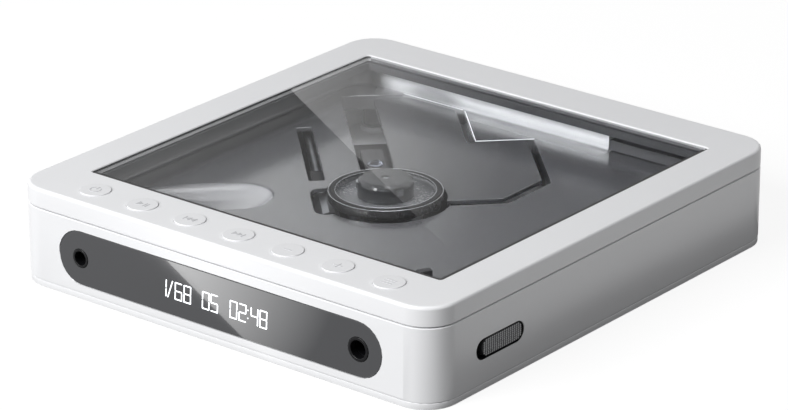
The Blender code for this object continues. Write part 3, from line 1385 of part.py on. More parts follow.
def make_turntable(mechanism):
    bottom, well, seat, lip = turntable_levels()
    bore = SHAFT_RADIUS + THIN_GAP
    profile = [
        (bore, bottom),
        (TURNTABLE_RADIUS - MOTOR_CHAMFER, bottom),
        (TURNTABLE_RADIUS, bottom + MOTOR_CHAMFER),
        (TURNTABLE_RADIUS, lip),
        (TURNTABLE_RADIUS - TURNTABLE_LIP, lip),
        (TURNTABLE_RADIUS - TURNTABLE_LIP, seat),
        (TURNTABLE_WELL_RADIUS, seat),
        (TURNTABLE_WELL_RADIUS, well),
        (bore, well),
    ]
    piece("turntable", turned(profile, LARGE_ROUND_STEPS, bored=True), "black_plastic", mechanism)
    low, high = seat + THIN_GAP, DISC_SEAT
    outer, inner = TURNTABLE_RADIUS - TURNTABLE_LIP - THIN_GAP, TURNTABLE_WELL_RADIUS + THIN_GAP
    mat = turned([(inner, low), (outer, low), (outer, high), (inner, high)], LARGE_ROUND_STEPS, bored=True)
    piece("turntable_mat", mat, "black_rubber", mechanism)


def make_hub(mechanism):
    bottom = turntable_levels()[1] + THIN_GAP
    top, radius = hub_top(), DISC_HOLE_RADIUS - THIN_GAP / 2
    bore = SHAFT_RADIUS + THIN_GAP
    profile = [
        (bore, top),
        (radius - HUB_CHAMFER, top),
        (radius - HUB_CHAMFER / 4, top - HUB_ROUND),
        (radius, top - HUB_CHAMFER),
        (radius, bottom),
        (bore, bottom),
    ]
    hub = piece("spindle_hub", turned(profile, LARGE_ROUND_STEPS, bored=True), "black_plastic", mechanism)
    cut(hub, together(*clip_shapes(FIT_GAP, radius + OVERRUN)), frame=mechanism)


def clip_shapes(grow, reach):
    """The clips, or with room around them the slots that they run in."""
    radius = DISC_HOLE_RADIUS - THIN_GAP / 2
    inner = radius + CLIP_PROUD - CLIP_LENGTH - grow - (CLIP_TRAVEL if grow else 0)
    high = hub_top() - CLIP_DROP + grow
    low = high - CLIP_HEIGHT - 2 * grow
    half = CLIP_WIDTH / 2 + grow
    shapes = []
    for i in range(CLIP_COUNT):
        turn = Matrix.Rotation(CLIP_FIRST_ANGLE + math.tau * i / CLIP_COUNT, 4, "Z")
        if grow:
            shape = block((inner, -half, low), (reach, half, high))
        else:
            shape = block((inner, -half, low), (reach, half, high), CLIP_WIDTH / 4)
        shape.transform(turn)
        shapes.append(shape)
    return shapes


def make_clips(mechanism):
    reach = DISC_HOLE_RADIUS - THIN_GAP / 2 + CLIP_PROUD
    for number, shape in enumerate(clip_shapes(0, reach), 1):
        piece(f"disc_clip_{number}", shape, "steel", mechanism)


def tower_top():
    return TRAY_FLOOR - TOWER_BELOW_FLOOR


def make_pickup(mechanism):
    middle = -LENS_REST
    near, far = middle + SLED_HALF_LENGTH, middle - SLED_HALF_LENGTH
    low = (far, -SCREW_SIDE - SLED_MARGIN, ROD_Z - SLED_HALF_HEIGHT)
    sled = block(low, (near, GUIDE_SIDE + SLED_MARGIN, ROD_Z + SLED_HALF_HEIGHT), OPENING_ROUND)
    sled = piece("optical_pickup", sled, "black_plastic", mechanism, (middle, 0, ROD_Z))
    tower_high = (middle + TOWER_NEAR, TOWER_SIDE, tower_top())
    tower = block((middle - TOWER_FAR, -TOWER_SIDE, ROD_Z), tower_high, BUTTON_ROUND)
    nut_low = (middle - NUT_HALF_LENGTH, -SCREW_SIDE - NUT_HALF_WIDTH, ROD_Z)
    nut = block(nut_low, (middle + NUT_HALF_LENGTH, -SCREW_SIDE + NUT_HALF_WIDTH, SCREW_Z + NUT_TOP))
    join(sled, tower, nut, frame=mechanism)
    radius, floor, over = LENS_RIM_RADIUS + THIN_GAP, tower_top() - LENS_WELL, tower_top() + OVERRUN
    cut(sled, rod(radius, floor, over, centre=(middle, 0)), frame=mechanism)
    cut(sled, together(*rod_bores(far - OVERRUN, near + OVERRUN)), frame=mechanism)
    bottom = tower_top() - LENS_WELL + 2 * FIT_GAP
    dome = tower_top() + LENS_PROUD
    shoulder = dome - LENS_DOME
    profile = [
        (0, bottom),
        (LENS_RIM_RADIUS, bottom),
        (LENS_RIM_RADIUS, shoulder - THIN_GAP),
        (LENS_RADIUS, shoulder),
        (LENS_RADIUS * STEEP_SHARE, dome - LENS_DOME * (1 - STEEP_SHARE)),
        (0, dome),
    ]
    lens = turned(profile, SMALL_ROUND_STEPS, centre=(middle, 0))
    piece("pickup_lens", lens, "clear_lens", mechanism, (middle, 0, bottom))


def make_rods(mechanism):
    far, near = -CHASSIS_FAR + FIT_GAP, -TAB_NEAR
    (screw_side, screw_z), (guide_side, guide_z) = rod_lines()
    guide = rod(ROD_RADIUS, far, near, SMALL_ROUND_STEPS, "x", (guide_side, guide_z))
    piece("guide_rod", guide, "steel", mechanism, (far, guide_side, guide_z))
    depth = FEED_MOTOR_LENGTH / 4
    screw = rod(ROD_RADIUS, far, near + depth, SMALL_ROUND_STEPS, "x", (screw_side, screw_z))
    piece("lead_screw", screw, "steel", mechanism, (far, screw_side, screw_z))
    face, back = near + FIT_GAP, near + FIT_GAP + FEED_MOTOR_LENGTH
    bore, bore_end = ROD_RADIUS + THIN_GAP, near + depth + FIT_GAP
    profile = [
        (0, bore_end),
        (bore, bore_end),
        (bore, face),
        (FEED_MOTOR_RADIUS - BUTTON_ROUND, face),
        (FEED_MOTOR_RADIUS, face + BUTTON_ROUND),
        (FEED_MOTOR_RADIUS, back),
        (0, back),
    ]
    motor = turned(profile, SMALL_ROUND_STEPS, "x", (screw_side, screw_z))
    piece("feed_motor", motor, "steel", mechanism)


def main():
    clear_scene()
    lid = Frame("lid_hinge_axis", LID_AXIS, datum=LID_AXIS)
    mechanism = Frame("mechanism_axes", HUB_POINT, MECHANISM_TURN)
    make_bottom_shell()
    join(bpy.data.objects["bottom_shell"], together(*damper_pegs()), frame=mechanism)
    make_disc_tray(mechanism)
    make_hinge_cover()
    make_feet()
    make_case_screws()
    make_lid_frame(lid)
    make_lid_window(lid)
    make_lid_liner(lid)
    make_button_board(lid)
    make_buttons(lid)
    make_lid_hook(lid)
    make_hinges()
    make_front_panel()
    make_jacks()
    make_display_module()
    make_main_board()
    make_battery()
    make_charging_board()
    make_usb_port()
    make_open_slider()
    make_slider_spring()
    make_lid_switch()
    make_traverse_chassis(mechanism)
    make_dampers(mechanism)
    make_mechanism_deck(mechanism)
    make_spindle(mechanism)
    make_turntable(mechanism)
    make_hub(mechanism)
    make_clips(mechanism)
    make_pickup(mechanism)
    make_rods(mechanism)


main()
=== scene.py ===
"""Looks of a square portable disc player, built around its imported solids.

Lengths are in metres, +Z is up and the front face looks towards -Y. Each sub-assembly is a class whose fields
are its sizes, and each finish is a frozen dataclass that makes its own material.
"""

import json
import logging
import math
from dataclasses import dataclass, field
from enum import Enum
from functools import cache
from typing import ClassVar

import bmesh
import bpy
from mathutils import Matrix, Vector


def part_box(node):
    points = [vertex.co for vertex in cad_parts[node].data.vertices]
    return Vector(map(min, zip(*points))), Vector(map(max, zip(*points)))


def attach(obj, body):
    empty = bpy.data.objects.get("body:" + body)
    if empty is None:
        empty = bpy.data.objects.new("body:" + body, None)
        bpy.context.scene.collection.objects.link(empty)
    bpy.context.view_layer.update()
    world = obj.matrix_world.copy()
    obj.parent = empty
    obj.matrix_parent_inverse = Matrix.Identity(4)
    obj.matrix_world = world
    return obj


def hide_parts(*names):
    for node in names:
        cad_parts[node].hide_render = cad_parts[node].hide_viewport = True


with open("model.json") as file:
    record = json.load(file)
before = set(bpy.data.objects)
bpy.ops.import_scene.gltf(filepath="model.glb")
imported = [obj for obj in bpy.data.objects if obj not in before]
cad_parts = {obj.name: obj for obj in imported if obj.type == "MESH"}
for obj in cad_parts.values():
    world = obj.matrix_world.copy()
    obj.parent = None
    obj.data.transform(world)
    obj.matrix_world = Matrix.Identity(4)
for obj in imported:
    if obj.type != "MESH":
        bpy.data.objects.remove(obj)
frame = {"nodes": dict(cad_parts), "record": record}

LOG = logging.getLogger("disc_player")
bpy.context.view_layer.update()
MM = 0.001
IMAGE_WIDTH, IMAGE_HEIGHT = 788, 410
UP = Vector((0, 0, 1))

Flat = tuple[float, float]
Point = tuple[float, float, float]
Colour = Point
Outline = list[Flat]
Socket = bpy.types.NodeSocket
Sockets = bpy.types.bpy_prop_collection
Mesh = bmesh.types.BMesh


# Node trees


class Net:
    """Adds nodes to one tree. A value given to an input is a socket to link or a plain value to set."""

    family: ClassVar[str] = "ShaderNode"

    def __init__(self, tree: bpy.types.NodeTree) -> None:
        """Takes the tree to work in."""
        self.tree = tree

    def feed(self, socket: Socket, value: object) -> None:
        """Links an input or sets its value; a colour gets its alpha here."""
        if isinstance(value, Socket):
            self.tree.links.new(value, socket)
        else:
            socket.default_value = (*value, 1.0) if socket.type == "RGBA" else value

    def fill(self, inputs: Sockets, **values: object) -> None:
        """Feeds inputs by name, with _ for a blank."""
        for label, value in values.items():
            self.feed(inputs[label.replace("_", " ")], value)

    def node(self, kind: str, *values: object, mode: str = "", **named: object) -> bpy.types.Node:
        """Adds a node.

        Args:
            kind: Its type; the family of the tree is put before a type without one.
            values: Its first inputs, in order.
            mode: Its operation, where it has one.
            named: Other inputs by name, with _ for a blank.

        Returns:
            The node.
        """
        made = self.tree.nodes.new(kind if "Node" in kind else self.family + kind)
        if mode:
            made.operation = mode
        for socket, value in zip(made.inputs, values):
            self.feed(socket, value)
        self.fill(made.inputs, **named)
        return made

    def math(self, kind: str, *values: object) -> Socket:
        """The result of a math operation."""
        return self.node("ShaderNodeMath", *values, mode=kind).outputs[0]

    def vector(self, kind: str, *values: object, **named: object) -> Socket:
        """The result of a vector operation, which is a number for the three kinds of measure."""
        result = "Value" if kind in ("LENGTH", "DISTANCE", "DOT_PRODUCT") else "Vector"
        return self.node("ShaderNodeVectorMath", *values, mode=kind, **named).outputs[result]

    def ramp(self, value: Socket, span: Flat, low: float = 0.0, high: float = 1.0, smooth: bool = False) -> Socket:
        """A value that runs from low to high while another runs over a span.

        Args:
            value: The value that it follows.
            span: Where it starts and where it ends.
            low: Its value at the start.
            high: Its value at the end.
            smooth: Whether it eases in and out.

        Returns:
            The ramp's value.
        """
        made = self.node("MapRange", Value=value, From_Min=span[0], From_Max=span[1], To_Min=low, To_Max=high)
        if smooth:
            made.interpolation_type = "SMOOTHSTEP"
        return made.outputs[0]

    def mixed(self, kind: str, share: object, first: object, second: object) -> Socket:
        """A mix of two values of one kind, by the share of the second."""
        made = self.tree.nodes.new("ShaderNodeMix")
        made.data_type = kind
        self.fill(made.inputs, Factor=share, A=first, B=second)
        return made.outputs["Result"]

    def place(self) -> Socket:
        """The point in the object's frame."""
        return self.node("TexCoord").outputs["Object"]

    def axes(self, vector: Socket) -> Sockets:
        """The X, Y and Z of a vector."""
        return self.node("ShaderNodeSeparateXYZ", vector).outputs


class SurfaceGroup(Net):
    """A shader node group that several finishes share. It puts out a colour, a roughness and a height."""

    def __init__(self, name: str, **inputs: object) -> None:
        """Starts the group.

        Args:
            name: Its name.
            inputs: Default value of each named input; a tuple makes a colour input.
        """
        super().__init__(bpy.data.node_groups.new(name, "ShaderNodeTree"))
        for label, value in inputs.items():
            colour = isinstance(value, tuple)
            socket = self.tree.interface.new_socket(
                label, in_out="INPUT", socket_type="NodeSocketColor" if colour else "NodeSocketFloat")
            socket.default_value = (*value, 1.0) if colour else value
        for label, kind in (("Colour", "Color"), ("Roughness", "Float"), ("Height", "Float")):
            self.tree.interface.new_socket(label, in_out="OUTPUT", socket_type=f"NodeSocket{kind}")
        self.given = self.node("NodeGroupInput").outputs

    def ended(self, shade: Socket, uneven: Socket, height: Socket) -> bpy.types.NodeTree:
        """Ends the group.

        Args:
            shade: What the colour is scaled by.
            uneven: What the roughness follows.
            height: What it puts out as height.

        Returns:
            The node tree.
        """
        colour = self.vector("SCALE", self.given["Colour"], Scale=shade)
        rough = self.math("MULTIPLY_ADD", uneven, self.given["Spread"], self.given["Roughness"])
        self.node("NodeGroupOutput", colour, rough, height)
        return self.tree


MOTTLE_SCALE, MOTTLE_DETAIL, GRAIN_DETAIL = 60, 4, 3
STREAK_SHADES: Flat = (0.85, 1.1)


@cache
def moulded_grain() -> bpy.types.NodeTree:
    """Fine moulded or sprayed grain: a mottled colour, an uneven roughness and a height for a bump.

    Returns:
        The node group.
    """
    group = SurfaceGroup("moulded_grain", Colour=(0.8, 0.8, 0.8), Roughness=0.4, Grain=2500.0, Mottle=0.03, Spread=0.05)
    place = group.place()
    fine = group.node("TexNoise", Vector=place, Scale=group.given["Grain"], Detail=GRAIN_DETAIL).outputs["Fac"]
    broad = group.node("TexNoise", Vector=place, Scale=MOTTLE_SCALE, Detail=MOTTLE_DETAIL).outputs["Fac"]
    centred = group.math("SUBTRACT", group.math("ADD", fine, broad), 1.0)
    return group.ended(group.math("MULTIPLY_ADD", centred, group.given["Mottle"], 1.0), centred, fine)


@cache
def drawn_lines() -> bpy.types.NodeTree:
    """Streaks of drawn or turned metal along one axis.

    Returns:
        The node group.
    """
    group = SurfaceGroup("drawn_lines", Colour=(0.6, 0.6, 0.6), Roughness=0.3, Along=60.0, Across=3000.0, Spread=0.15)
    across, along = group.given["Across"], group.given["Along"]
    stretch = group.node("ShaderNodeCombineXYZ", across, across, along).outputs[0]
    stretched = group.vector("MULTIPLY", group.place(), stretch)
    streak = group.node("TexNoise", Vector=stretched, Scale=1).outputs["Fac"]
    return group.ended(group.ramp(streak, (0, 1), *STREAK_SHADES), streak, streak)


# Finishes


def new_material(name: str) -> tuple[bpy.types.Material, Net, Sockets]:
    """Starts a material.

    Args:
        name: Its name.

    Returns:
        The material, its tree and the inputs of its Principled shader.
    """
    material = bpy.data.materials.new(name)
    material.use_nodes = True
    return material, Net(material.node_tree), material.node_tree.nodes["Principled BSDF"].inputs


@dataclass(frozen=True)
class Finish:
    """A named look for one of the record's material slots."""

    name: str
    colour: Colour
    roughness: float
    slot: str
    bump_strength: ClassVar[float] = 0.6

    def material(self) -> bpy.types.Material:
        """Makes the material, or hands out the one already made."""
        made = bpy.data.materials.get(self.name)
        if not made:
            made, net, skin = new_material(self.name)
            self.shade(net, skin)
        return made

    def shade(self, net: Net, skin: Sockets) -> None:
        """Sets up the material's nodes; each kind of finish has its own way.

        Args:
            net: The material's tree.
            skin: The inputs of its Principled shader.
        """
        raise NotImplementedError

    def surface(self, net: Net, skin: Sockets, group: bpy.types.NodeTree, depth: float, **values: float) -> None:
        """Places a surface group in the material and joins it to the shader.

        Args:
            net: The material's tree.
            skin: The inputs of its Principled shader.
            group: The group to place.
            depth: Distance of the bump; 0 leaves it out.
            values: The group's inputs beside colour and roughness.
        """
        placed = net.tree.nodes.new("ShaderNodeGroup")
        placed.node_tree = group
        net.fill(placed.inputs, Colour=self.colour, Roughness=self.roughness, **values)
        net.fill(skin, Base_Color=placed.outputs["Colour"], Roughness=placed.outputs["Roughness"])
        if depth > 0:
            bump = net.node("Bump", Strength=self.bump_strength, Distance=depth, Height=placed.outputs["Height"])
            net.fill(skin, Normal=bump.outputs["Normal"])


@dataclass(frozen=True)
class Moulded(Finish):
    """Moulded plastic, paint or rubber with a fine grain."""

    grain: float = 2500.0
    mottle: float = 0.03
    spread: float = 0.06
    depth: float = 0.01 * MM
    gloss: float = 0.5
    coat: float = 0.0
    coat_roughness: float = 0.08
    coat_ior: float = 1.5

    def shade(self, net: Net, skin: Sockets) -> None:
        """Sets up the material's nodes."""
        self.surface(net, skin, moulded_grain(), self.depth, Grain=self.grain, Mottle=self.mottle, Spread=self.spread)
        net.fill(skin, Specular_IOR_Level=self.gloss, Coat_Weight=self.coat, Coat_Roughness=self.coat_roughness,
                 Coat_IOR=self.coat_ior)

    def overlay(self, net: Net, skin: Sockets, share: Socket, colour: Colour) -> None:
        """Lays another colour over the moulding's own.

        Args:
            net: The material's tree.
            skin: The inputs of its Principled shader.
            share: How much of the other colour shows.
            colour: The other colour.
        """
        own = skin["Base Color"].links[0].from_socket
        net.fill(skin, Base_Color=net.mixed("RGBA", share, own, colour))


@dataclass(frozen=True)
class SplitToneAndShade(Moulded):
    """Moulding with another colour behind a limit along Y or, if it has an axis node, away from that axis. On the
    window's lining and gasket that other colour is painted shade and painted light.
    """

    other: Colour = (0.0, 0.0, 0.0)
    limit: float = 58.11 * MM
    axis_node: str = ""

    def shade(self, net: Net, skin: Sockets) -> None:
        """Sets up the material's nodes."""
        super().shade(net, skin)
        if self.axis_node:
            axis = middle_of(self.axis_node)
            reach = net.vector("DISTANCE", net.vector("MULTIPLY", net.place(), (1, 1, 0)), (axis.x, axis.y, 0))
        else:
            reach = net.axes(net.place())["Y"]
        self.overlay(net, skin, net.math("GREATER_THAN", reach, self.limit), self.other)


@dataclass(frozen=True)
class PaintedSheenMoulding(Moulded):
    """Dark moulding with pale light painted on: a painted reflection on the floor towards the wall at its back, a
    painted highlight on that wall and in the scoop, and a grey patch low on that wall where the painted sheen is
    weaker.
    """

    pale: Colour = (0.76, 0.765, 0.78)
    fade: Flat = (46.0 * MM, 62.9 * MM)
    fade_power: float = 3.0
    floor_reflection_share: float = 0.36
    wall_levels: Flat = (16.1 * MM, 19.5 * MM)
    wall_highlight_share: float = 0.54
    wall: Flat = (62.3 * MM, 62.8 * MM)
    left: Flat = (-60.0 * MM, -54.0 * MM)
    right: Flat = (22.0 * MM, 22.8 * MM)
    patch: Point = (-37.5 * MM, 63.0 * MM, 17.6 * MM)
    patch_reach: Point = (12.5 * MM, 5.0 * MM, 3.2 * MM)
    patch_core: float = 0.35
    patch_share: float = 0.62
    dish_depth: Flat = (16.0 * MM, 15.4 * MM)
    dish_across: Flat = (-56.0 * MM, -28.0 * MM)
    dish_limit: Flat = (-12.0 * MM, -14.0 * MM)
    dish_highlight_shares: Flat = (0.05, 0.24)

    def shade(self, net: Net, skin: Sockets) -> None:
        """Sets up the material's nodes."""
        super().shade(net, skin)
        place = net.place()
        axes = net.axes(place)

        def eased(axis: str, span: Flat, low: float = 0.0, high: float = 1.0) -> Socket:
            """A smooth ramp along one axis."""
            return net.ramp(axes[axis], span, low, high, smooth=True)

        def product(first: Socket, *others: Socket) -> Socket:
            """The product of several shares."""
            for other in others:
                first = net.math("MULTIPLY", first, other)
            return first

        # Painted reflection: the floor turns pale towards the back wall.
        floor = net.math("MULTIPLY", net.math("POWER", net.ramp(axes["Y"], self.fade), self.fade_power),
                         self.floor_reflection_share)
        # Painted highlight on the back wall, weaker low down.
        wall = product(eased("Y", self.wall), eased("Z", self.wall_levels, self.wall_highlight_share))
        # The painted sheen is weaker in a patch low on the wall.
        away = net.vector("DIVIDE", net.vector("SUBTRACT", place, self.patch), self.patch_reach)
        clear = net.ramp(net.vector("LENGTH", away), (self.patch_core, 1), 1 - self.patch_share, 1, smooth=True)
        share = product(net.math("MAXIMUM", floor, wall), eased("X", self.left), eased("X", self.right, 1, 0), clear)
        # Painted highlight in the scoop, lighter towards its right end.
        dish = product(eased("Z", self.dish_depth), eased("Y", self.dish_limit),
                       eased("X", self.dish_across, *self.dish_highlight_shares))
        self.overlay(net, skin, net.math("MAXIMUM", share, dish), self.pale)


@dataclass(frozen=True)
class Metal(Finish):
    """Drawn, turned or pressed metal with fine streaks."""

    along: float = 60.0
    across: float = 3000.0
    spread: float = 0.12
    depth: float = 0.004 * MM

    def shade(self, net: Net, skin: Sockets) -> None:
        """Sets up the material's nodes."""
        self.surface(net, skin, drawn_lines(), self.depth, Along=self.along, Across=self.across, Spread=self.spread)
        net.fill(skin, Metallic=1.0)


@dataclass(frozen=True)
class Pane(Finish):
    """Clear or smoked glass that lets lamp light through to what lies behind it."""

    passed: Colour = (0.8, 0.8, 0.8)
    ior: float = 1.45
    coat: float = 0.0
    coat_ior: float = 1.6
    level_from: float = 0.5

    def shade(self, net: Net, skin: Sockets) -> None:
        """Sets up the material's nodes."""
        net.fill(skin, Base_Color=self.colour, Roughness=self.roughness, Transmission_Weight=1.0, IOR=self.ior,
                 Coat_Roughness=0.0, Coat_IOR=self.coat_ior)
        if self.coat > 0:
            net.fill(skin, Coat_Weight=self.top_only(net))
        shadow = net.node("LightPath").outputs["Is Shadow Ray"]
        clear = net.node("BsdfTransparent", Color=self.passed).outputs[0]
        nodes = net.tree.nodes
        mix = net.node("MixShader", shadow, nodes["Principled BSDF"].outputs[0], clear)
        net.fill(nodes["Material Output"].inputs, Surface=mix.outputs[0])

    def top_only(self, net: Net) -> Socket:
        """The coat's weight, which is 0 where the surface doesn't face up or is seen from inside.

        Args:
            net: The material's tree.

        Returns:
            The weight.
        """
        surface = net.node("NewGeometry").outputs
        upward = net.math("GREATER_THAN", net.axes(surface["Normal"])["Z"], self.level_from)
        weight = net.node("ShaderNodeMath", net.math("SUBTRACT", upward, surface["Backfacing"]), self.coat,
                          mode="MULTIPLY")
        weight.use_clamp = True
        return weight.outputs[0]


@dataclass(frozen=True)
class Lit(Moulded):
    """A lit display segment: it glows evenly, with a faint grain."""

    strength: float = 1.0

    def shade(self, net: Net, skin: Sockets) -> None:
        """Sets up the material's nodes."""
        super().shade(net, skin)
        net.fill(skin, Emission_Color=self.colour, Emission_Strength=self.strength)


class Finishes:
    """The finishes of this player."""

    SHELL = Moulded("satin_white_shell", (0.76, 0.765, 0.78), 0.34, "white_shell", grain=3200, mottle=0.02,
                    depth=0.006 * MM)
    BUTTON = Moulded("button_white", (0.73, 0.735, 0.75), 0.36, "white_button", grain=3600, mottle=0.02,
                     depth=0.004 * MM)
    # The tray's pale overlay is painted highlight and painted reflection, not the moulding's colour.
    TRAY = PaintedSheenMoulding("charcoal_tray", (0.062, 0.063, 0.068), 0.22, "dark_tray", grain=3000, mottle=0.06,
                      depth=0.003 * MM, coat=1.0, coat_roughness=0.16, coat_ior=1.65)
    DECK = Moulded("charcoal_deck", (0.05, 0.051, 0.055), 0.24, "dark_tray", grain=3000, mottle=0.08,
                   depth=0.003 * MM, coat=1.0, coat_roughness=0.18, coat_ior=1.55)
    # Near-white bars laid along edges as painted highlights.
    PAINTED_HIGHLIGHT = Moulded("painted_highlight_white", (0.86, 0.865, 0.88), 0.25, "white_shell", grain=3200, mottle=0.02, depth=0)
    LINER = Moulded("liner_charcoal", (0.045, 0.046, 0.049), 0.5, "dark_liner", gloss=0.0)
    PANEL = Moulded("gloss_panel", (0.045, 0.046, 0.05), 0.12, "dark_panel", mottle=0.02, depth=0, coat=1.0,
                    coat_roughness=0.015)
    BLACK = Moulded("moulded_black", (0.022, 0.022, 0.024), 0.38, "black_plastic", mottle=0.1, gloss=0.3)
    COVER = Moulded("hinge_cover_grey", (0.065, 0.066, 0.07), 0.35, "black_plastic", mottle=0.08, gloss=0.0)
    TABLE = SplitToneAndShade("turntable_grey", (0.1, 0.102, 0.108), 0.25, "black_plastic", mottle=0.3, grain=1600, spread=0.2,
                    other=(0.012, 0.012, 0.013), limit=14.6 * MM, axis_node="turntable")
    HUB = Moulded("hub_black", (0.02, 0.021, 0.023), 0.12, "black_plastic", mottle=0.05, depth=0.002 * MM, coat=0.6)
    JACK = Moulded("jack_black", (0.006, 0.006, 0.007), 0.3, "black_plastic", mottle=0.05, depth=0, gloss=0.25)
    SLIDER = Moulded("slider_ground", (0.02, 0.02, 0.022), 0.5, "slider_grey", mottle=0.06, gloss=0.2)
    TEETH = Moulded("slider_teeth", (0.42, 0.425, 0.435), 0.4, "slider_grey", mottle=0.06)
    # Lining: grey as painted shade, darker behind the pane's back edge as painted shade. Gasket: lighter there as
    # painted light.
    LINING = SplitToneAndShade("window_lining_grey", (0.36, 0.362, 0.37), 0.4, "black_rubber", mottle=0.04, depth=0,
                     gloss=0.0, other=(0.085, 0.085, 0.09))
    GASKET = SplitToneAndShade("window_gasket_black", (0.02, 0.02, 0.021), 0.6, "black_rubber", mottle=0.04, depth=0,
                     gloss=0.0, other=(0.3, 0.302, 0.31))
    SIGN = Moulded("sign_grey", (0.5, 0.505, 0.52), 0.4, "white_button", grain=3600, mottle=0.02, depth=0)
    MAT = Moulded("mat_black", (0.014, 0.014, 0.015), 0.6, "black_rubber", grain=1800, mottle=0.12, gloss=0.2)
    # Black rubber; also used for the painted shade along the pane's front and right edges.
    RUBBER_AND_PAINTED_SHADE = Moulded("rubber_black_and_painted_shade", (0.02, 0.02, 0.021), 0.7, "black_rubber", grain=1800, mottle=0.12, depth=0.02 * MM)
    BOARD = Moulded("green_lacquer", (0.015, 0.1, 0.045), 0.35, "circuit_board", grain=900, mottle=0.2, coat=0.4)
    WRAP = Moulded("battery_foil", (0.42, 0.44, 0.47), 0.35, "battery_wrap", grain=700, mottle=0.06)
    STEEL = Metal("bright_steel", (0.62, 0.63, 0.65), 0.18, "steel")
    PRESSED = Metal("pressed_steel", (0.4, 0.41, 0.43), 0.34, "chassis_steel", along=200, across=900)
    CHASSIS = Moulded("blackened_steel", (0.03, 0.031, 0.033), 0.45, "chassis_steel", mottle=0.12, gloss=0.3)
    GLASS = Pane("smoked_glass", (0.93, 0.935, 0.94), 0.0, "tinted_glass", passed=(0.86, 0.87, 0.88), ior=1.02,
                 coat=1.0)
    LENS = Pane("coated_lens", (0.75, 0.8, 0.95), 0.06, "clear_lens", ior=1.25)
    DIGITS = Lit("lit_digits", (0.95, 0.97, 1.0), 0.4, "dark_panel", grain=4000, mottle=0.02, spread=0.02, depth=0,
                 strength=0.9)


# Mesh making

CORNER_STEPS = 8
TRIM_SECTION = ((-1, 0), (1, 0), (1, 0.5), (0.55, 1), (-0.55, 1), (-1, 0.5))
SHARPEST_MITRE = 0.3


def middle_of(node: str) -> Vector:
    """The middle of a solid's box."""
    low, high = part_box(node)
    return (low + high) / 2


def arc(centre: Flat, radius: float, start: float, end: float, steps: int) -> Outline:
    """Points along an arc.

    Args:
        centre: Middle of the arc.
        radius: Its radius.
        start: First angle, in radians.
        end: Last angle, in radians.
        steps: Number of chords.

    Returns:
        The points, both ends included.
    """
    turns = [start + (end - start) * i / steps for i in range(steps + 1)]
    return [(centre[0] + radius * math.cos(a), centre[1] + radius * math.sin(a)) for a in turns]


def capsule(length: float, height: float, centre: Flat, steps: int = 24) -> Outline:
    """Outline of a bar with round ends.

    Args:
        length: Whole length.
        height: Height, and the width of the round ends.
        centre: Middle of the bar.
        steps: Chords of each round end.

    Returns:
        The outline, counter-clockwise.
    """
    radius, reach = height / 2, (length - height) / 2
    right = arc((centre[0] + reach, centre[1]), radius, -math.pi / 2, math.pi / 2, steps)
    return right + arc((centre[0] - reach, centre[1]), radius, math.pi / 2, 1.5 * math.pi, steps)


def loft(rings: list[list[Vector]], looped: bool = False) -> Mesh:
    """Joins rings of points into a skin.

    Args:
        rings: Rings with as many points each.
        looped: Whether the last ring joins the first; if not, both are filled.

    Returns:
        The new mesh, with its faces pointing outwards.
    """
    made = bmesh.new()
    verts = [[made.verts.new(point) for point in ring] for ring in rings]
    count = len(verts[0])
    pairs = list(zip(verts, verts[1:])) + ([(verts[-1], verts[0])] if looped else [])
    for low, high in pairs:
        for i in range(count):
            made.faces.new((low[i], low[(i + 1) % count], high[(i + 1) % count], high[i]))
    if not looped:
        made.faces.new(verts[0][::-1])
        made.faces.new(verts[-1])
    bmesh.ops.recalc_face_normals(made, faces=made.faces)
    return made


def turned(profile: Outline, steps: int = 96) -> Mesh:
    """A turned shape round Z.

    Args:
        profile: Points as radius and height; one with radius 0 closes an end.
        steps: Number of sides.

    Returns:
        The new mesh.
    """
    made = bmesh.new()
    rings = []
    for radius, height in profile:
        circle = arc((0, 0), radius, 0, math.tau, steps)[:-1] if radius > 0 else [(0, 0)]
        rings.append([made.verts.new((x, y, height)) for x, y in circle])
    pairs = list(zip(rings, rings[1:]))
    if len(rings[0]) > 1 and len(rings[-1]) > 1:
        pairs.append((rings[-1], rings[0]))
    for low, high in pairs:
        for i in range(steps):
            j = (i + 1) % steps
            corners = [low[i % len(low)], low[j % len(low)], high[j % len(high)], high[i % len(high)]]
            unique = list(dict.fromkeys(corners))
            if len(unique) > 2:
                made.faces.new(unique)
    bmesh.ops.recalc_face_normals(made, faces=made.faces)
    return made


def hoop(low: Vector, high: Vector, corner: float, section: Outline) -> Mesh:
    """A closed rim that runs round a rectangle with round corners.

    Args:
        low: Lower left corner of the rectangle.
        high: Its upper right corner.
        corner: Radius of its corners.
        section: The rim's section, as distance outside the rectangle and height.

    Returns:
        The new mesh.
    """
    rings = []
    for out, z in section:
        left, front, right, rear = low.x - out, low.y - out, high.x + out, high.y + out
        radius, ring = corner + out, []
        middles = ((right - radius, rear - radius), (left + radius, rear - radius),
                   (left + radius, front + radius), (right - radius, front + radius))
        for turn, middle in enumerate(middles):
            ring += arc(middle, radius, turn * math.pi / 2, (turn + 1) * math.pi / 2, CORNER_STEPS)
        rings.append([Vector((x, y, z)) for x, y in ring])
    return loft(rings, looped=True)


def slab(outline: Outline, low: float, high: float) -> Mesh:
    """A flat plate with an outline in X and Y, between two heights."""
    return loft([[Vector((x, y, z)) for x, y in outline] for z in (low, high)])


def block(low: Vector, high: Vector) -> Mesh:
    """A box between two corners."""
    return slab([(low[0], low[1]), (high[0], low[1]), (high[0], high[1]), (low[0], high[1])], low[2], high[2])


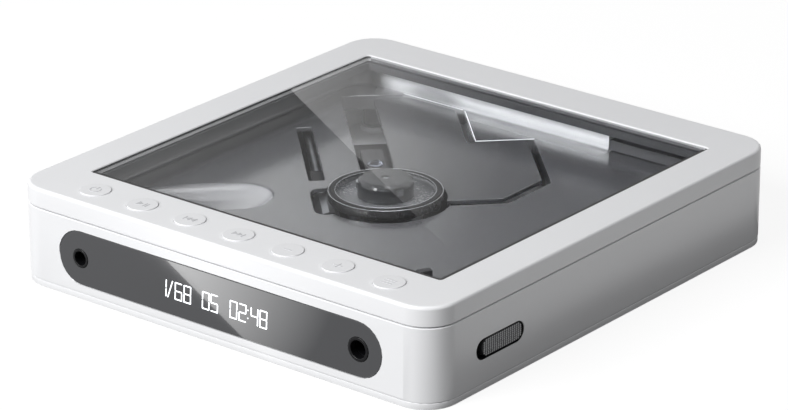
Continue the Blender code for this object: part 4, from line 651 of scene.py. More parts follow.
def trim(points: list[Vector], width: float, height: float) -> Mesh:
    """A thin bar with a rounded top that follows a line over a floor.

    Args:
        points: The line, at the height of the bar's underside.
        width: Width of the bar.
        height: Height of the bar.

    Returns:
        The new mesh.
    """
    rings = []
    for i, point in enumerate(points):
        before, after = points[max(i - 1, 0)], points[min(i + 1, len(points) - 1)]
        ways = [(b - a).normalized() for a, b in ((before, point), (point, after)) if (b - a).length > 0]
        mean = sum(ways, Vector()).normalized()
        side, reach = mean.cross(UP), width / 2 / max(mean.dot(ways[0]), SHARPEST_MITRE)
        rings.append([point + side * (a * reach) + Vector((0, 0, b * height)) for a, b in TRIM_SECTION])
    return loft(rings)


def mesh_of(name: str, made: Mesh) -> bpy.types.Mesh:
    """Mesh data with a name, from a mesh that is used up."""
    mesh = bpy.data.meshes.new(name)
    made.to_mesh(mesh)
    made.free()
    return mesh


def together(parts: list[Mesh]) -> Mesh:
    """One mesh with all of the given ones, which are used up."""
    whole = bmesh.new()
    for part in parts:
        mesh = mesh_of("loose", part)
        whole.from_mesh(mesh)
        bpy.data.meshes.remove(mesh)
    return whole


def linked(name: str, data: bpy.types.ID) -> bpy.types.Object:
    """A new object with some data, in the scene."""
    obj = bpy.data.objects.new(name, data)
    bpy.context.scene.collection.objects.link(obj)
    return obj


def baked(obj: bpy.types.Object) -> bpy.types.Mesh:
    """An object's mesh as its live modifiers make it; they are taken off."""
    depsgraph = bpy.context.evaluated_depsgraph_get()
    mesh = bpy.data.meshes.new_from_object(obj.evaluated_get(depsgraph), depsgraph=depsgraph)
    obj.modifiers.clear()
    return mesh


class Growth(Net):
    """A Geometry Nodes tree with named inputs, and the plain mesh that it grows into."""

    family: ClassVar[str] = "GeometryNode"

    def __init__(self, name: str, finish: Finish, **sizes: float) -> None:
        """Starts the tree.

        Args:
            name: Name of the tree.
            finish: The finish that its last node sets.
            sizes: Its named inputs and their values, with _ for a blank.
        """
        super().__init__(bpy.data.node_groups.new(name, "GeometryNodeTree"))
        self.finish = finish
        self.sizes: dict[str, float] = {}
        for label, value in sizes.items():
            socket = self.tree.interface.new_socket(
                label.replace("_", " "), in_out="INPUT", socket_type="NodeSocketFloat")
            self.sizes[socket.identifier] = value
        self.tree.interface.new_socket("Geometry", in_out="OUTPUT", socket_type="NodeSocketGeometry")
        self.given = self.node("NodeGroupInput").outputs

    def joined(self, x: object = 0.0, y: object = 0.0, z: object = 0.0) -> Socket:
        """A vector made of three values."""
        return self.node("ShaderNodeCombineXYZ", x, y, z).outputs[0]

    def raised(self, geometry: Socket, height: Socket) -> Socket:
        """Geometry moved up."""
        return self.node("Transform", Geometry=geometry, Translation=self.joined(z=height)).outputs[0]

    def grown(self, geometry: Socket) -> Mesh:
        """Ends the tree and turns what it grows into plain mesh.

        Args:
            geometry: The finished geometry.

        Returns:
            The mesh.
        """
        real = self.node("RealizeInstances", geometry).outputs[0]
        dressed = self.node("SetMaterial", Geometry=real, Material=self.finish.material())
        self.node("NodeGroupOutput", dressed.outputs[0])
        seed = bpy.data.meshes.new(f"{self.tree.name}_seed")
        holder = linked(seed.name, seed)
        growth = holder.modifiers.new("growth", "NODES")
        growth.node_group = self.tree
        for identifier, value in self.sizes.items():
            growth[identifier] = value
        plain, made = baked(holder), bmesh.new()
        made.from_mesh(plain)
        bpy.data.objects.remove(holder)
        for used in (seed, plain):
            bpy.data.meshes.remove(used)
        LOG.info("%s: grew %d faces", self.tree.name, len(made.faces))
        return made


class Piece:
    """Turns meshes into finished pieces that ride on their bodies."""

    body_of_node: ClassVar[dict[str, str]] = {
        node: body for body, nodes in frame["record"]["behaviour"]["bodies"].items() for node in nodes
    }
    weld: ClassVar[float] = 0.0005 * MM
    flat_angle: ClassVar[float] = math.radians(0.4)
    solid_sharp: ClassVar[float] = 30.0
    bevel_rows: ClassVar[int] = 3

    @staticmethod
    def make(name: str, made: Mesh, finish: Finish, body: str, place: Matrix | None = None,
             nodes: tuple[str, ...] = (), bevel: float = 0.0, sharp: float = 35.0) -> bpy.types.Object:
        """Makes a piece from a mesh.

        Args:
            name: Name of the piece.
            made: Its mesh, which is used up.
            finish: Its finish.
            body: The body it rides on.
            place: Where the mesh goes, if it isn't in place yet.
            nodes: The solids that it replaces.
            bevel: Width of the rounding of its edges.
            sharp: Edges steeper than this stay crisp, in degrees.

        Returns:
            The finished object, at the origin, with its place in its mesh.
        """
        if place is not None:
            made.transform(place)
        obj = linked(name, mesh_of(name, made))
        if bevel > 0:
            rounding = obj.modifiers.new("edges", "BEVEL")
            rounding.width, rounding.segments = bevel, Piece.bevel_rows
            rounding.limit_method, rounding.angle_limit = "ANGLE", math.radians(sharp)
            rounding.use_clamp_overlap = True
            Piece.bake(obj)
        mesh = obj.data
        mesh.materials.clear()
        mesh.materials.append(finish.material())
        mesh.shade_smooth()
        mesh.set_sharp_from_angle(angle=math.radians(sharp))
        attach(obj, body)
        if nodes:
            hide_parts(*nodes)
        LOG.info("%s: %d faces on %s", obj.name, len(mesh.polygons), body)
        return obj

    @staticmethod
    def bake(obj: bpy.types.Object) -> None:
        """Turns an object's live modifiers into plain mesh."""
        old, obj.data = obj.data, baked(obj)
        bpy.data.meshes.remove(old)

    @classmethod
    def dressed(cls, finish: Finish, *nodes: str) -> None:
        """Makes smooth-shaded copies of solids whose shape is right, which stand for them.

        Args:
            finish: The finish of the copies.
            nodes: The solids.
        """
        for node in nodes:
            made = bmesh.new()
            made.from_mesh(frame["nodes"][node].data)
            made.transform(frame["nodes"][node].matrix_world)
            bmesh.ops.remove_doubles(made, verts=made.verts, dist=cls.weld)
            bmesh.ops.dissolve_limit(made, angle_limit=cls.flat_angle, verts=made.verts, edges=made.edges)
            obj = cls.make(f"{node}_dressed", made, finish, cls.body_of_node[node], nodes=(node,),
                           sharp=cls.solid_sharp)
            weigh = obj.modifiers.new("flats", "WEIGHTED_NORMAL")
            weigh.keep_sharp, weigh.mode = True, "FACE_AREA"
            cls.bake(obj)

    @staticmethod
    def coat(finish: Finish, *nodes: str) -> None:
        """Gives solids that stay as they are a finish."""
        for node in nodes:
            mesh = frame["nodes"][node].data
            mesh.materials.clear()
            mesh.materials.append(finish.material())
            LOG.info("%s: coated with %s", node, finish.name)


# The case


@dataclass
class Case:
    """The white tub, its feet, screws and what shows at the back."""

    foot_radius: float = 5.0 * MM
    foot_round: float = 0.35 * MM
    head_radius: float = 2.2 * MM
    head_height: float = 1.2 * MM
    shank_radius: float = 0.85 * MM
    recess_width: float = 0.55 * MM
    recess_length: float = 2.5 * MM
    recess_depth: float = 0.7 * MM
    case_corner: float = 9.0 * MM
    ring_insets: Flat = (0.1 * MM, 1.5 * MM)
    ring_levels: Flat = (0.06 * MM, 1.7 * MM)
    ring_bevel: float = 0.1 * MM
    head_sides: int = 48
    shank_sides: int = 24
    foot_sides: int = 64
    foot_round_steps: int = 6
    corners: ClassVar[tuple[str, ...]] = ("front_left", "front_right", "rear_left", "rear_right")

    def build(self) -> None:
        """Builds and dresses the tub and what is fixed to it outside."""
        Piece.dressed(Finishes.SHELL, "bottom_shell")
        self.base_ring()
        self.feet()
        Piece.dressed(Finishes.STEEL, "usb_c_port")
        self.screws()

    def base_ring(self) -> None:
        """The rim that runs round the bottom of the tub, down to just above the ground."""
        (outer, inner), (foot, top) = self.ring_insets, self.ring_levels
        made = hoop(*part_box("bottom_shell"), self.case_corner,
                    [(-outer, foot), (-outer, top), (-inner, top), (-inner, foot)])
        Piece.make("case_base_ring", made, Finishes.SHELL, "case", bevel=self.ring_bevel)

    def screws(self) -> None:
        """The four case screws with their cross recesses, grown on the corners of one grid."""
        names = tuple(f"case_screw_{corner}" for corner in self.corners)
        (low, high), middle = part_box(names[0]), middle_of(names[0])
        growth = Growth("case_screws", Finishes.STEEL, Head_Radius=self.head_radius, Head_Height=self.head_height,
                        Shank_Radius=self.shank_radius, Length=high.z - low.z, Recess_Width=self.recess_width,
                        Recess_Length=self.recess_length, Recess_Depth=self.recess_depth, Across=-2 * middle.x,
                        Along=-2 * middle.y)
        size = growth.given
        head = growth.node("MeshCylinder", Vertices=self.head_sides, Radius=size["Head Radius"],
                           Depth=size["Head Height"]).outputs["Mesh"]
        shank = growth.node("MeshCylinder", Vertices=self.shank_sides, Radius=size["Shank Radius"],
                            Depth=growth.math("SUBTRACT", size["Length"], size["Head Height"])).outputs["Mesh"]
        double = growth.math("MULTIPLY", size["Recess Depth"], 2.0)
        face = growth.math("DIVIDE", size["Head Height"], -2.0)
        width, length = size["Recess Width"], size["Recess Length"]
        for way in ((width, length), (length, width)):
            arm = growth.node("MeshCube", Size=growth.joined(*way, double)).outputs["Mesh"]
            cut = growth.node("MeshBoolean", mode="DIFFERENCE", Mesh_1=head,
                              Mesh_2=growth.raised(arm, face))
            cut.solver = "EXACT"
            head = cut.outputs["Mesh"]
        whole = growth.node("JoinGeometry")
        for part in (head, growth.raised(shank, growth.math("DIVIDE", size["Length"], 2.0))):
            growth.feed(whole.inputs[0], part)
        grid = growth.node("MeshGrid", Size_X=size["Across"], Size_Y=size["Along"], Vertices_X=2,
                           Vertices_Y=2)
        spread = growth.node("InstanceOnPoints", Points=grid.outputs["Mesh"], Instance=whole.outputs[0])
        place = Matrix.Translation((0, 0, low.z + self.head_height / 2))
        Piece.make("case_screws_set", growth.grown(spread.outputs[0]), Finishes.STEEL, "case", place, names)

    def feet(self) -> None:
        """Four rubber feet with rounded edges."""
        for node in (f"foot_{corner}" for corner in self.corners):
            (low, high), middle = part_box(node), middle_of(node)
            radius, edge = self.foot_radius, self.foot_round
            curve = arc((radius - edge, low.z + edge), edge, -math.pi / 2, 0, self.foot_round_steps)
            made = turned([(0, low.z), *curve, (radius, high.z), (0, high.z)], self.foot_sides)
            Piece.make(f"{node}_pad", made, Finishes.RUBBER_AND_PAINTED_SHADE, "case", Matrix.Translation((middle.x, middle.y, 0)),
                       (node,))


@dataclass
class DiscTray:
    """The dark basin and what stands in it."""

    wall_face: float = 63.0 * MM
    floor: float = 16.1 * MM
    rim: float = 20.3 * MM
    wall_left: float = -56.0 * MM
    sunk: float = 0.03 * MM
    rim_width: float = 0.5 * MM
    foot_reach: Flat = (-49.0 * MM, -27.6 * MM)
    foot_width: float = 0.32 * MM
    edge_width: float = 0.24 * MM
    edge_height: float = 0.12 * MM
    hub: Flat = (-3.2 * MM, -1.3 * MM)
    step: float = 38.7 * MM
    shoulder: float = 28.2 * MM
    side: float = 44.5 * MM
    rear: float = 62.17 * MM
    edge_out: float = 0.35 * MM

    def build(self) -> None:
        """Dresses the basin, the hinge cover, the deck and the lid switch, and lays thin white bars along edges as
        painted highlights.
        """
        Piece.dressed(Finishes.TRAY, "disc_tray")
        Piece.dressed(Finishes.DECK, "mechanism_deck")
        Piece.dressed(Finishes.COVER, "hinge_cover")
        Piece.coat(Finishes.BLACK, "lid_switch", "lid_switch_plunger")
        self.rear_edges()
        self.opening_edge()

    def rear_edges(self) -> None:
        """Painted highlights: a white bar on the top edge of the rear wall and a white line at its foot."""
        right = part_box("hinge_cover")[0].x - self.sunk
        y = self.wall_face + self.rim_width / 2 - self.sunk
        top = [Vector((x, y, self.rim - self.sunk)) for x in (self.wall_left, right)]
        Piece.make("tray_rear_rim_highlight", trim(top, self.rim_width, self.edge_height), Finishes.PAINTED_HIGHLIGHT, "case")
        y = self.wall_face - self.foot_width / 2
        foot = [Vector((x, y, self.floor - self.sunk)) for x in self.foot_reach]
        Piece.make("tray_rear_foot_highlight", trim(foot, self.foot_width, self.foot_width), Finishes.PAINTED_HIGHLIGHT, "case")

    def opening_edge(self) -> None:
        """A painted highlight: a white bar along the edge of the opening from the rear wall to its right corner.

        Its corners are given in the mechanism's axes, which lie at 45 degrees in the case: the distance towards
        the front right and the distance towards the rear right.
        """
        out, half = self.edge_out, math.sqrt(0.5)
        corners = ((out - self.rear, self.shoulder + out), (out - self.step, self.shoulder + out),
                   (out - self.step, self.side))
        line = [Vector((self.hub[0] + half * (along + across), self.hub[1] + half * (across - along),
                        self.floor - self.sunk)) for along, across in corners]
        Piece.make("opening_edge_highlight", trim(line, self.edge_width, self.edge_height), Finishes.PAINTED_HIGHLIGHT, "case")


# The lid


class Symbol(Enum):
    """The generic sign raised on each push button."""

    POWER = "power"
    PLAY = "play"
    PREVIOUS = "previous"
    NEXT = "next"
    MINUS = "minus"
    PLUS = "plus"
    MENU = "menu"


@dataclass
class PushButtons:
    """Seven round buttons with raised signs."""

    radius: float = 4.05 * MM
    edge: float = 0.1 * MM
    proud: float = 0.2 * MM
    flange: float = 0.4 * MM
    bezel: Flat = (4.12 * MM, 4.49 * MM)
    bezel_depth: float = 0.9 * MM
    bezel_edge: Flat = (4.62 * MM, 4.78 * MM)
    bezel_seat: float = 0.002 * MM
    bezel_height: float = 0.02 * MM
    flange_height: float = 0.4 * MM
    skirt: float = 0.5 * MM
    hollow: float = 0.5 * MM
    sign_height: float = 0.16 * MM
    sign_size: float = 1.55 * MM
    stroke: float = 0.22 * MM
    edge_steps: int = 5
    power_angles: Flat = (math.radians(125), math.radians(415))
    power_steps: int = 28
    power_bar: Flat = (0.1, 1.15)
    play_arrow: Point = (0.25, -0.95, 0.75)
    pause_places: Flat = (0.55, 1.05)
    pause_rise: float = 0.7
    skip_places: Flat = (-1.1, -0.1)
    skip_reach: float = 0.95
    skip_rise: float = 0.65
    arm_reach: float = 0.85
    menu_rows: Point = (-0.7, 0.0, 0.7)

    def build(self) -> None:
        """Builds each button, its sign and its bezel."""
        face, (inner, outer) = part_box("lid_frame")[1].z, self.bezel
        foot, seat, crest = face - self.bezel_depth, face + self.bezel_seat, face + self.bezel_height
        bezel = [(inner, foot), (outer, foot), (outer, seat), (self.bezel_edge[1], seat),
                 (self.bezel_edge[0], crest), (inner, crest)]
        for sign in Symbol:
            node = f"button_{sign.value}"
            (low, high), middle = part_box(node), middle_of(node)
            place, top = Matrix.Translation((middle.x, middle.y, 0)), high.z + self.proud
            Piece.make(f"{node}_cap", self.body(low.z, top), Finishes.BUTTON, node, place, (node,))
            Piece.make(f"{node}_sign", together(self.sign(sign, top)), Finishes.SIGN, node, place)
            Piece.make(f"{node}_bezel", turned(bezel), Finishes.SHELL, "lid", place)

    def body(self, low: float, high: float) -> Mesh:
        """The button's turned body, which is hollow from below.

        Args:
            low: Height of its underside.
            high: Height of its face.

        Returns:
            The mesh, round Z.
        """
        curve = arc((self.radius - self.edge, high - self.edge), self.edge, 0, math.pi / 2, self.edge_steps)
        outer, ledge = self.radius + self.flange, low + self.flange_height
        flat = (self.radius - 2 * self.edge, high)
        hollow, ceiling = outer - self.skirt, low + self.hollow
        return turned([(0, ceiling), (hollow, ceiling), (hollow, low), (outer, low), (outer, ledge),
                       (self.radius, ledge), *curve, flat, (0, high)])

    def sign(self, sign: Symbol, top: float) -> list[Mesh]:
        """The raised strokes of a sign.

        Args:
            sign: Which sign.
            top: Height of the button's face.

        Returns:
            One mesh per stroke.
        """
        size, half = self.sign_size, self.stroke / 2
        low, high = top - self.sign_height / 2, top + self.sign_height / 2

        def bar(x0: float, y0: float, x1: float, y1: float) -> Mesh:
            """A rectangular stroke between two corners."""
            return block(Vector((x0, y0, low)), Vector((x1, y1, high)))

        def arrow(tip: float, back: float, rise: float) -> Mesh:
            """A triangle from its back edge to its tip."""
            corners = [(back, -rise), (tip, 0), (back, rise)]
            return slab(corners if tip > back else corners[::-1], low, high)

        if sign is Symbol.POWER:
            outer = arc((0, 0), size, *self.power_angles, self.power_steps)
            inner = arc((0, 0), size - self.stroke, *self.power_angles[::-1], self.power_steps)
            foot, head = (size * reach for reach in self.power_bar)
            return [slab(outer + inner, low, high), bar(-half, foot, half, head)]
        if sign is Symbol.PLAY:
            rise = size * self.pause_rise
            pause = [bar(size * x - half, -rise, size * x + half, rise) for x in self.pause_places]
            return [arrow(*(size * reach for reach in self.play_arrow)), *pause]
        if sign in (Symbol.PREVIOUS, Symbol.NEXT):
            way, rise = 1 if sign is Symbol.NEXT else -1, size * self.skip_rise
            arrows = [arrow(way * size * (x + self.skip_reach), way * size * x, rise) for x in self.skip_places]
            start = size * self.skip_reach
            left, right = sorted((way * start, way * (start + self.stroke)))
            return [*arrows, bar(left, -rise, right, rise)]
        reach = size * self.arm_reach
        if sign is Symbol.MINUS:
            return [bar(-reach, -half, reach, half)]
        if sign is Symbol.PLUS:
            corners: Outline = []
            for turn in range(4):
                a = math.pi / 2 * turn
                corners += [(x * math.cos(a) + y * math.sin(a), y * math.cos(a) - x * math.sin(a))
                            for x, y in ((half, reach), (half, half), (reach, half))]
            return [slab(corners[::-1], low, high)]
        return [bar(-size, size * y - half, size, size * y + half) for y in self.menu_rows]


@dataclass
class Lid:
    """The white lid with its window, liner and hook."""

    gasket: Flat = (0.03 * MM, 0.17 * MM)
    gasket_height: float = 0.55 * MM
    corner: float = 1.0 * MM
    lining_foot: float = 0.05 * MM
    painted_shade_front: float = 1.1 * MM
    painted_shade_right: float = 0.95 * MM
    painted_shade_skin: float = 0.01 * MM

    def build(self) -> None:
        """Dresses the lid's solids and builds its gasket, the painted shade along the pane's front and right edges and
        its buttons.
        """
        self.rims()
        self.painted_shade()
        Piece.dressed(Finishes.SHELL, "lid_frame")
        Piece.dressed(Finishes.LINER, "lid_liner")
        Piece.dressed(Finishes.GLASS, "lid_window")
        Piece.coat(Finishes.BLACK, "lid_hook")
        Piece.coat(Finishes.BOARD, "button_board")
        PushButtons().build()

    def painted_shade(self) -> None:
        """Painted shade: dark bars laid on the pane along its front and right edges."""
        low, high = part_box("lid_window")
        top, ledge = high.z + self.painted_shade_skin, low.y + self.painted_shade_front
        bars = [block(Vector((low.x + self.corner, low.y, high.z)), Vector((high.x, ledge, top))),
                block(Vector((high.x - self.painted_shade_right, ledge, high.z)), Vector((high.x, high.y - self.corner, top)))]
        Piece.make("window_painted_shade", together(bars), Finishes.RUBBER_AND_PAINTED_SHADE, "lid")

    def rims(self) -> None:
        """The thin dark gasket in the gap round the pane and the grey lining below it. The lining's grey is painted
        shade on a white wall, painted darker behind the pane's back edge, where the gasket is painted lighter as
        painted light.
        """
        low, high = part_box("lid_window")
        inner, outer = self.gasket
        joint = high.z - self.gasket_height
        for name, finish, foot, top in (
                ("window_gasket", Finishes.GASKET, joint, high.z),
                ("window_lining", Finishes.LINING, low.z + self.lining_foot, joint - self.lining_foot)):
            made = hoop(low, high, self.corner, [(inner, foot), (outer, foot), (outer, top), (inner, top)])
            Piece.make(name, made, finish, "lid")


# The front


@dataclass
class Display:
    """Lit segment digits in the front panel: a track number, a count and a time."""

    height: float = 4.85 * MM
    width: float = 2.5 * MM
    stroke: float = 0.36 * MM
    slant: float = math.radians(3)
    base: float = 8.6 * MM
    proud: float = 0.02 * MM
    gap_share: float = 0.12
    segments: ClassVar[dict[str, str]] = {
        "|": "fe", "0": "abcdef", "2": "abged", "4": "fgbc", "5": "afgcd", "6": "afgcde", "8": "abcdefg",
    }
    digits: tuple[tuple[str, float], ...] = (
        ("|", -16.8), ("6", -13.75), ("8", -10.8), ("0", -4.7), ("5", -1.9), ("0", 4.4), ("2", 7.35),
        ("4", 11.2), ("8", 14.1),
    )
    colon: float = 10.35
    dots: Flat = (1.4, 3.6)
    lean: Flat = (0.75 * MM, 2.3 * MM)

    def build(self) -> None:
        """Builds the digits, the leaning stroke and the colon as one thin piece on the panel's face."""
        parts = [self.stroke_of(segment, left * MM) for digit, left in self.digits for segment in self.segments[digit]]
        (foot, head), left, half = self.lean, self.digits[0][1] * MM, self.stroke / 2
        top = self.base + self.height
        parts.append(self.plate([(left + foot - half, self.base), (left + foot + half, self.base),
                                 (left + head + half, top), (left + head - half, top)]))
        for rise in self.dots:
            x, z = self.colon * MM, self.base + rise * MM
            parts.append(self.plate([(x - half, z - half), (x + half, z - half), (x + half, z + half),
                                     (x - half, z + half)]))
        place = Matrix.Translation((0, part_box("front_panel")[0].y - self.proud, 0))
        Piece.make("display_digits", together(parts), Finishes.DIGITS, "case", place)

    def plate(self, outline: Outline) -> Mesh:
        """A thin plate in the panel's plane, leaning by the slant.

        Args:
            outline: Its outline in X and Z.

        Returns:
            The mesh, with its face at y = 0.
        """
        leant = [(x + (z - self.base) * math.tan(self.slant), z) for x, z in outline]
        return loft([[Vector((x, y, z)) for x, z in leant] for y in (0, 2 * self.proud)])

    def stroke_of(self, segment: str, left: float) -> Mesh:
        """One segment of a digit.

        Args:
            segment: Its letter, a to g, clockwise from the top, g in the middle.
            left: Left edge of the digit.

        Returns:
            The mesh of the segment.
        """
        cut, gap = self.stroke / 2, self.stroke * self.gap_share
        right, low, high = left + self.width, self.base, self.base + self.height
        middle, lying = (low + high) / 2, segment in "adg"
        first, last = (left, right) if lying else (middle, high) if segment in "bf" else (low, middle)
        start, end = first + gap, last - gap
        line = ((start, 0), (start + cut, -cut), (end - cut, -cut), (end, 0), (end - cut, cut), (start + cut, cut))
        if lying:
            z = {"a": high - cut, "d": low + cut, "g": middle}[segment]
            return self.plate([(along, z + across) for along, across in line])
        x = left + cut if segment in "ef" else right - cut
        return self.plate([(x - across, along) for along, across in line])


@dataclass
class FrontPanel:
    """The dark capsule, its jacks and its display."""

    edge: float = 0.15 * MM
    steps: int = 64
    lip: float = 0.6 * MM
    lip_radius: float = 2.5 * MM
    bead: float = 0.11 * MM
    edge_steps: int = 5
    bead_steps: int = 12

    def build(self) -> None:
        """Dresses the panel and builds the jacks and the digits."""
        Piece.dressed(Finishes.PANEL, "front_panel")
        Piece.coat(Finishes.BLACK, "display_module")
        for jack in ("headphone_jack", "balanced_jack"):
            Piece.dressed(Finishes.JACK, jack)
            self.ring(f"{jack}_ring")
        Display().build()

    def ring(self, node: str) -> None:
        """A turned black ring round a jack's mouth, with a bright bead inside it.

        Args:
            node: The ring's solid.
        """
        (low, high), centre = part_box(node), middle_of(node)
        outer, depth, edge = (high.x - low.x) / 2, high.y - low.y, self.edge
        share = outer / self.lip_radius
        bore = outer - self.lip * share
        outer_curve = arc((outer - edge, depth - edge), edge, 0, math.pi / 2, self.edge_steps)
        inner_curve = arc((bore + edge, depth - edge), edge, math.pi / 2, math.pi, self.edge_steps)
        made = turned([(bore, 0), (outer, 0), *outer_curve, *inner_curve], self.steps)
        place = Matrix.Translation((centre.x, high.y, centre.z)) @ Matrix.Rotation(math.pi / 2, 4, "X")
        Piece.make(f"{node}_turned", made, Finishes.JACK, "case", place, (node,))
        round_bead = arc((bore + self.bead, depth - edge), self.bead, 0, math.tau, self.bead_steps)[:-1]
        Piece.make(f"{node}_bead", turned(round_bead, self.steps), Finishes.STEEL, "case", place)


# The right side


@dataclass
class OpenSlider:
    """The knurled slider that opens the lid."""

    length: float = 16.4 * MM
    height: float = 5.0 * MM
    centre: Flat = (-44.8 * MM, 10.95 * MM)
    pitch_along: float = 0.8 * MM
    pitch_up: float = 0.54 * MM
    tooth: float = 0.3 * MM
    tooth_rise: float = 0.16 * MM
    margin: float = 0.3 * MM
    slot_length: float = 18.9 * MM
    slot_height: float = 5.56 * MM
    slot_shift: float = -1.0 * MM
    slot_skin: float = 0.1 * MM
    slot_depth: float = 2.0 * MM
    tooth_sides: int = 6
    tooth_top: float = 0.5

    def build(self) -> None:
        """Dresses the slider, lays the knurl on its face and lines its slot."""
        Piece.dressed(Finishes.SLIDER, "open_slider")
        self.knurl()
        self.slot()
        Piece.coat(Finishes.STEEL, "slider_spring")

    def knurl(self) -> None:
        """Rows of small teeth inside the face's outline, grown on a grid."""
        growth = Growth("slider_knurl", Finishes.TEETH, Length=self.length, Height=self.height,
                        Pitch_Along=self.pitch_along, Pitch_Up=self.pitch_up, Tooth=self.tooth, Rise=self.tooth_rise,
                        Margin=self.margin)
        size, math_of = growth.given, growth.math
        counts, spans = [], []
        for whole, pitch in (("Length", "Pitch Along"), ("Height", "Pitch Up")):
            steps = math_of("FLOOR", math_of("DIVIDE", size[whole], size[pitch]))
            counts.append(math_of("ADD", steps, 1.0))
            spans.append(math_of("MULTIPLY", steps, size[pitch]))
        grid = growth.node("MeshGrid", Size_X=spans[0], Size_Y=spans[1], Vertices_X=counts[0],
                           Vertices_Y=counts[1])
        axes = growth.axes(growth.node("InputPosition").outputs[0])
        reach = math_of("DIVIDE", math_of("SUBTRACT", size["Length"], size["Height"]), 2.0)
        past = math_of("SUBTRACT", math_of("ABSOLUTE", axes["X"]), reach)
        off = growth.vector("LENGTH", growth.joined(math_of("MAXIMUM", past, 0.0), axes["Y"]))
        room = math_of("SUBTRACT", math_of("DIVIDE", size["Height"], 2.0), size["Margin"])
        tooth = growth.node("MeshCone", Vertices=self.tooth_sides, Radius_Bottom=size["Tooth"],
                            Radius_Top=math_of("MULTIPLY", size["Tooth"], self.tooth_top), Depth=size["Rise"])
        spread = growth.node("InstanceOnPoints", Points=grid.outputs["Mesh"],
                             Selection=math_of("LESS_THAN", off, room), Instance=tooth.outputs["Mesh"])
        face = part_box("open_slider")[1].x
        turn = Matrix(((0, 0, 1), (1, 0, 0), (0, 1, 0))).to_4x4()
        place = Matrix.Translation((face, *self.centre)) @ turn
        Piece.make("slider_knurl", growth.grown(spread.outputs[0]), Finishes.TEETH, "open_slider", place)

    def slot(self) -> None:
        """A black lining inside the slot in the case's side."""
        face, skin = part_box("bottom_shell")[1].x - self.slot_skin, self.slot_skin
        middle = (self.centre[0] + self.slot_shift, self.centre[1])
        outer = capsule(self.slot_length, self.slot_height, middle)
        inner = capsule(self.slot_length - 2 * skin, self.slot_height - 2 * skin, middle)
        levels = ((outer, face), (inner, face), (inner, face - self.slot_depth), (outer, face - self.slot_depth))
        made = loft([[Vector((x, y, z)) for y, z in ring] for ring, x in levels], looped=True)
        Piece.make("slider_slot_lining", made, Finishes.JACK, "case")


# The disc mechanism


@dataclass
class DiscMechanism:
    """Turntable, hub, pickup and drive, turned 45 degrees in the case."""

    centre: Point = (-3.2 * MM, -1.3 * MM, 0)
    lip_radius: float = 15.02 * MM
    lip_bead: float = 0.13 * MM
    inner_radius: float = 13.25 * MM
    inner_bead: float = 0.1 * MM
    thread_pitch: float = 1.0 * MM
    thread_radius: float = 1.12 * MM
    thread_ridge: float = 0.22 * MM
    thread_margin: float = 3.0 * MM
    thread_steps: int = 20
    ridge_sides: int = 6
    bead_sides: int = 10
    bead_steps: int = 128

    def build(self) -> None:
        """Dresses the solids of the mechanism and what else is inside, and adds the beads and the thread."""
        Piece.dressed(Finishes.TABLE, "turntable")
        self.rings()
        self.thread()
        Piece.dressed(Finishes.HUB, "spindle_hub")
        Piece.dressed(Finishes.STEEL, "disc_clip_1", "disc_clip_2", "disc_clip_3")
        Piece.dressed(Finishes.BLACK, "optical_pickup")
        Piece.dressed(Finishes.LENS, "pickup_lens")
        Piece.coat(Finishes.MAT, "turntable_mat")
        Piece.coat(Finishes.RUBBER_AND_PAINTED_SHADE, "damper_left", "damper_right", "damper_outer")
        Piece.coat(Finishes.STEEL, "spindle_shaft", "guide_rod", "spindle_motor", "hinge_pin_left", "hinge_pin_right")
        Piece.coat(Finishes.PRESSED, "lead_screw", "feed_motor", "hinge_bracket_left", "hinge_bracket_right")
        Piece.coat(Finishes.CHASSIS, "traverse_chassis")
        Piece.coat(Finishes.BOARD, "main_board", "charging_board")
        Piece.coat(Finishes.WRAP, "battery")

    def rings(self) -> None:
        """The two bright beads of the turntable: its outer lip and the edge of its inner well."""
        tops = ((self.lip_radius, self.lip_bead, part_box("turntable")[1].z),
                (self.inner_radius, self.inner_bead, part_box("turntable_mat")[1].z))
        beads = [turned(arc((radius, top - bead / 2), bead, 0, math.tau, self.bead_sides)[:-1],
                        self.bead_steps)
                 for radius, bead, top in tops]
        Piece.make("turntable_beads", together(beads), Finishes.STEEL, "turntable", Matrix.Translation(self.centre))

    def thread(self) -> None:
        """The thread of the lead screw, grown along a helix."""
        low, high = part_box("lead_screw")
        radius = (high.z - low.z) / 2
        ends = [Vector((low.x + radius, high.y - radius, low.z + radius)),
                Vector((high.x - radius, low.y + radius, low.z + radius))]
        way = (ends[1] - ends[0]).normalized()
        start, length = ends[0] + way * self.thread_margin, (ends[1] - ends[0]).length - 2 * self.thread_margin
        growth = Growth("lead_screw_thread", Finishes.STEEL, Length=length, Pitch=self.thread_pitch,
                        Radius=self.thread_radius, Ridge=self.thread_ridge)
        size = growth.given
        helix = growth.node("CurveSpiral", Resolution=self.thread_steps,
                            Rotations=growth.math("DIVIDE", size["Length"], size["Pitch"]),
                            Start_Radius=size["Radius"], End_Radius=size["Radius"], Height=size["Length"])
        ridge = growth.node("CurvePrimitiveCircle", Resolution=self.ridge_sides, Radius=size["Ridge"])
        tube = growth.node("CurveToMesh", Curve=helix.outputs[0], Profile_Curve=ridge.outputs[0],
                           Fill_Caps=True)
        place = Matrix.Translation(start) @ way.to_track_quat("Z", "Y").to_matrix().to_4x4()
        Piece.make("lead_screw_thread", growth.grown(tube.outputs[0]), Finishes.PRESSED, "lead_screw", place)


# Floor, light and camera


@dataclass(frozen=True)
class Mirror:
    """A mirroring face of the player and the plane of the card that it shows."""

    face: Vector
    normal: Vector
    card: Vector
    card_normal: Vector


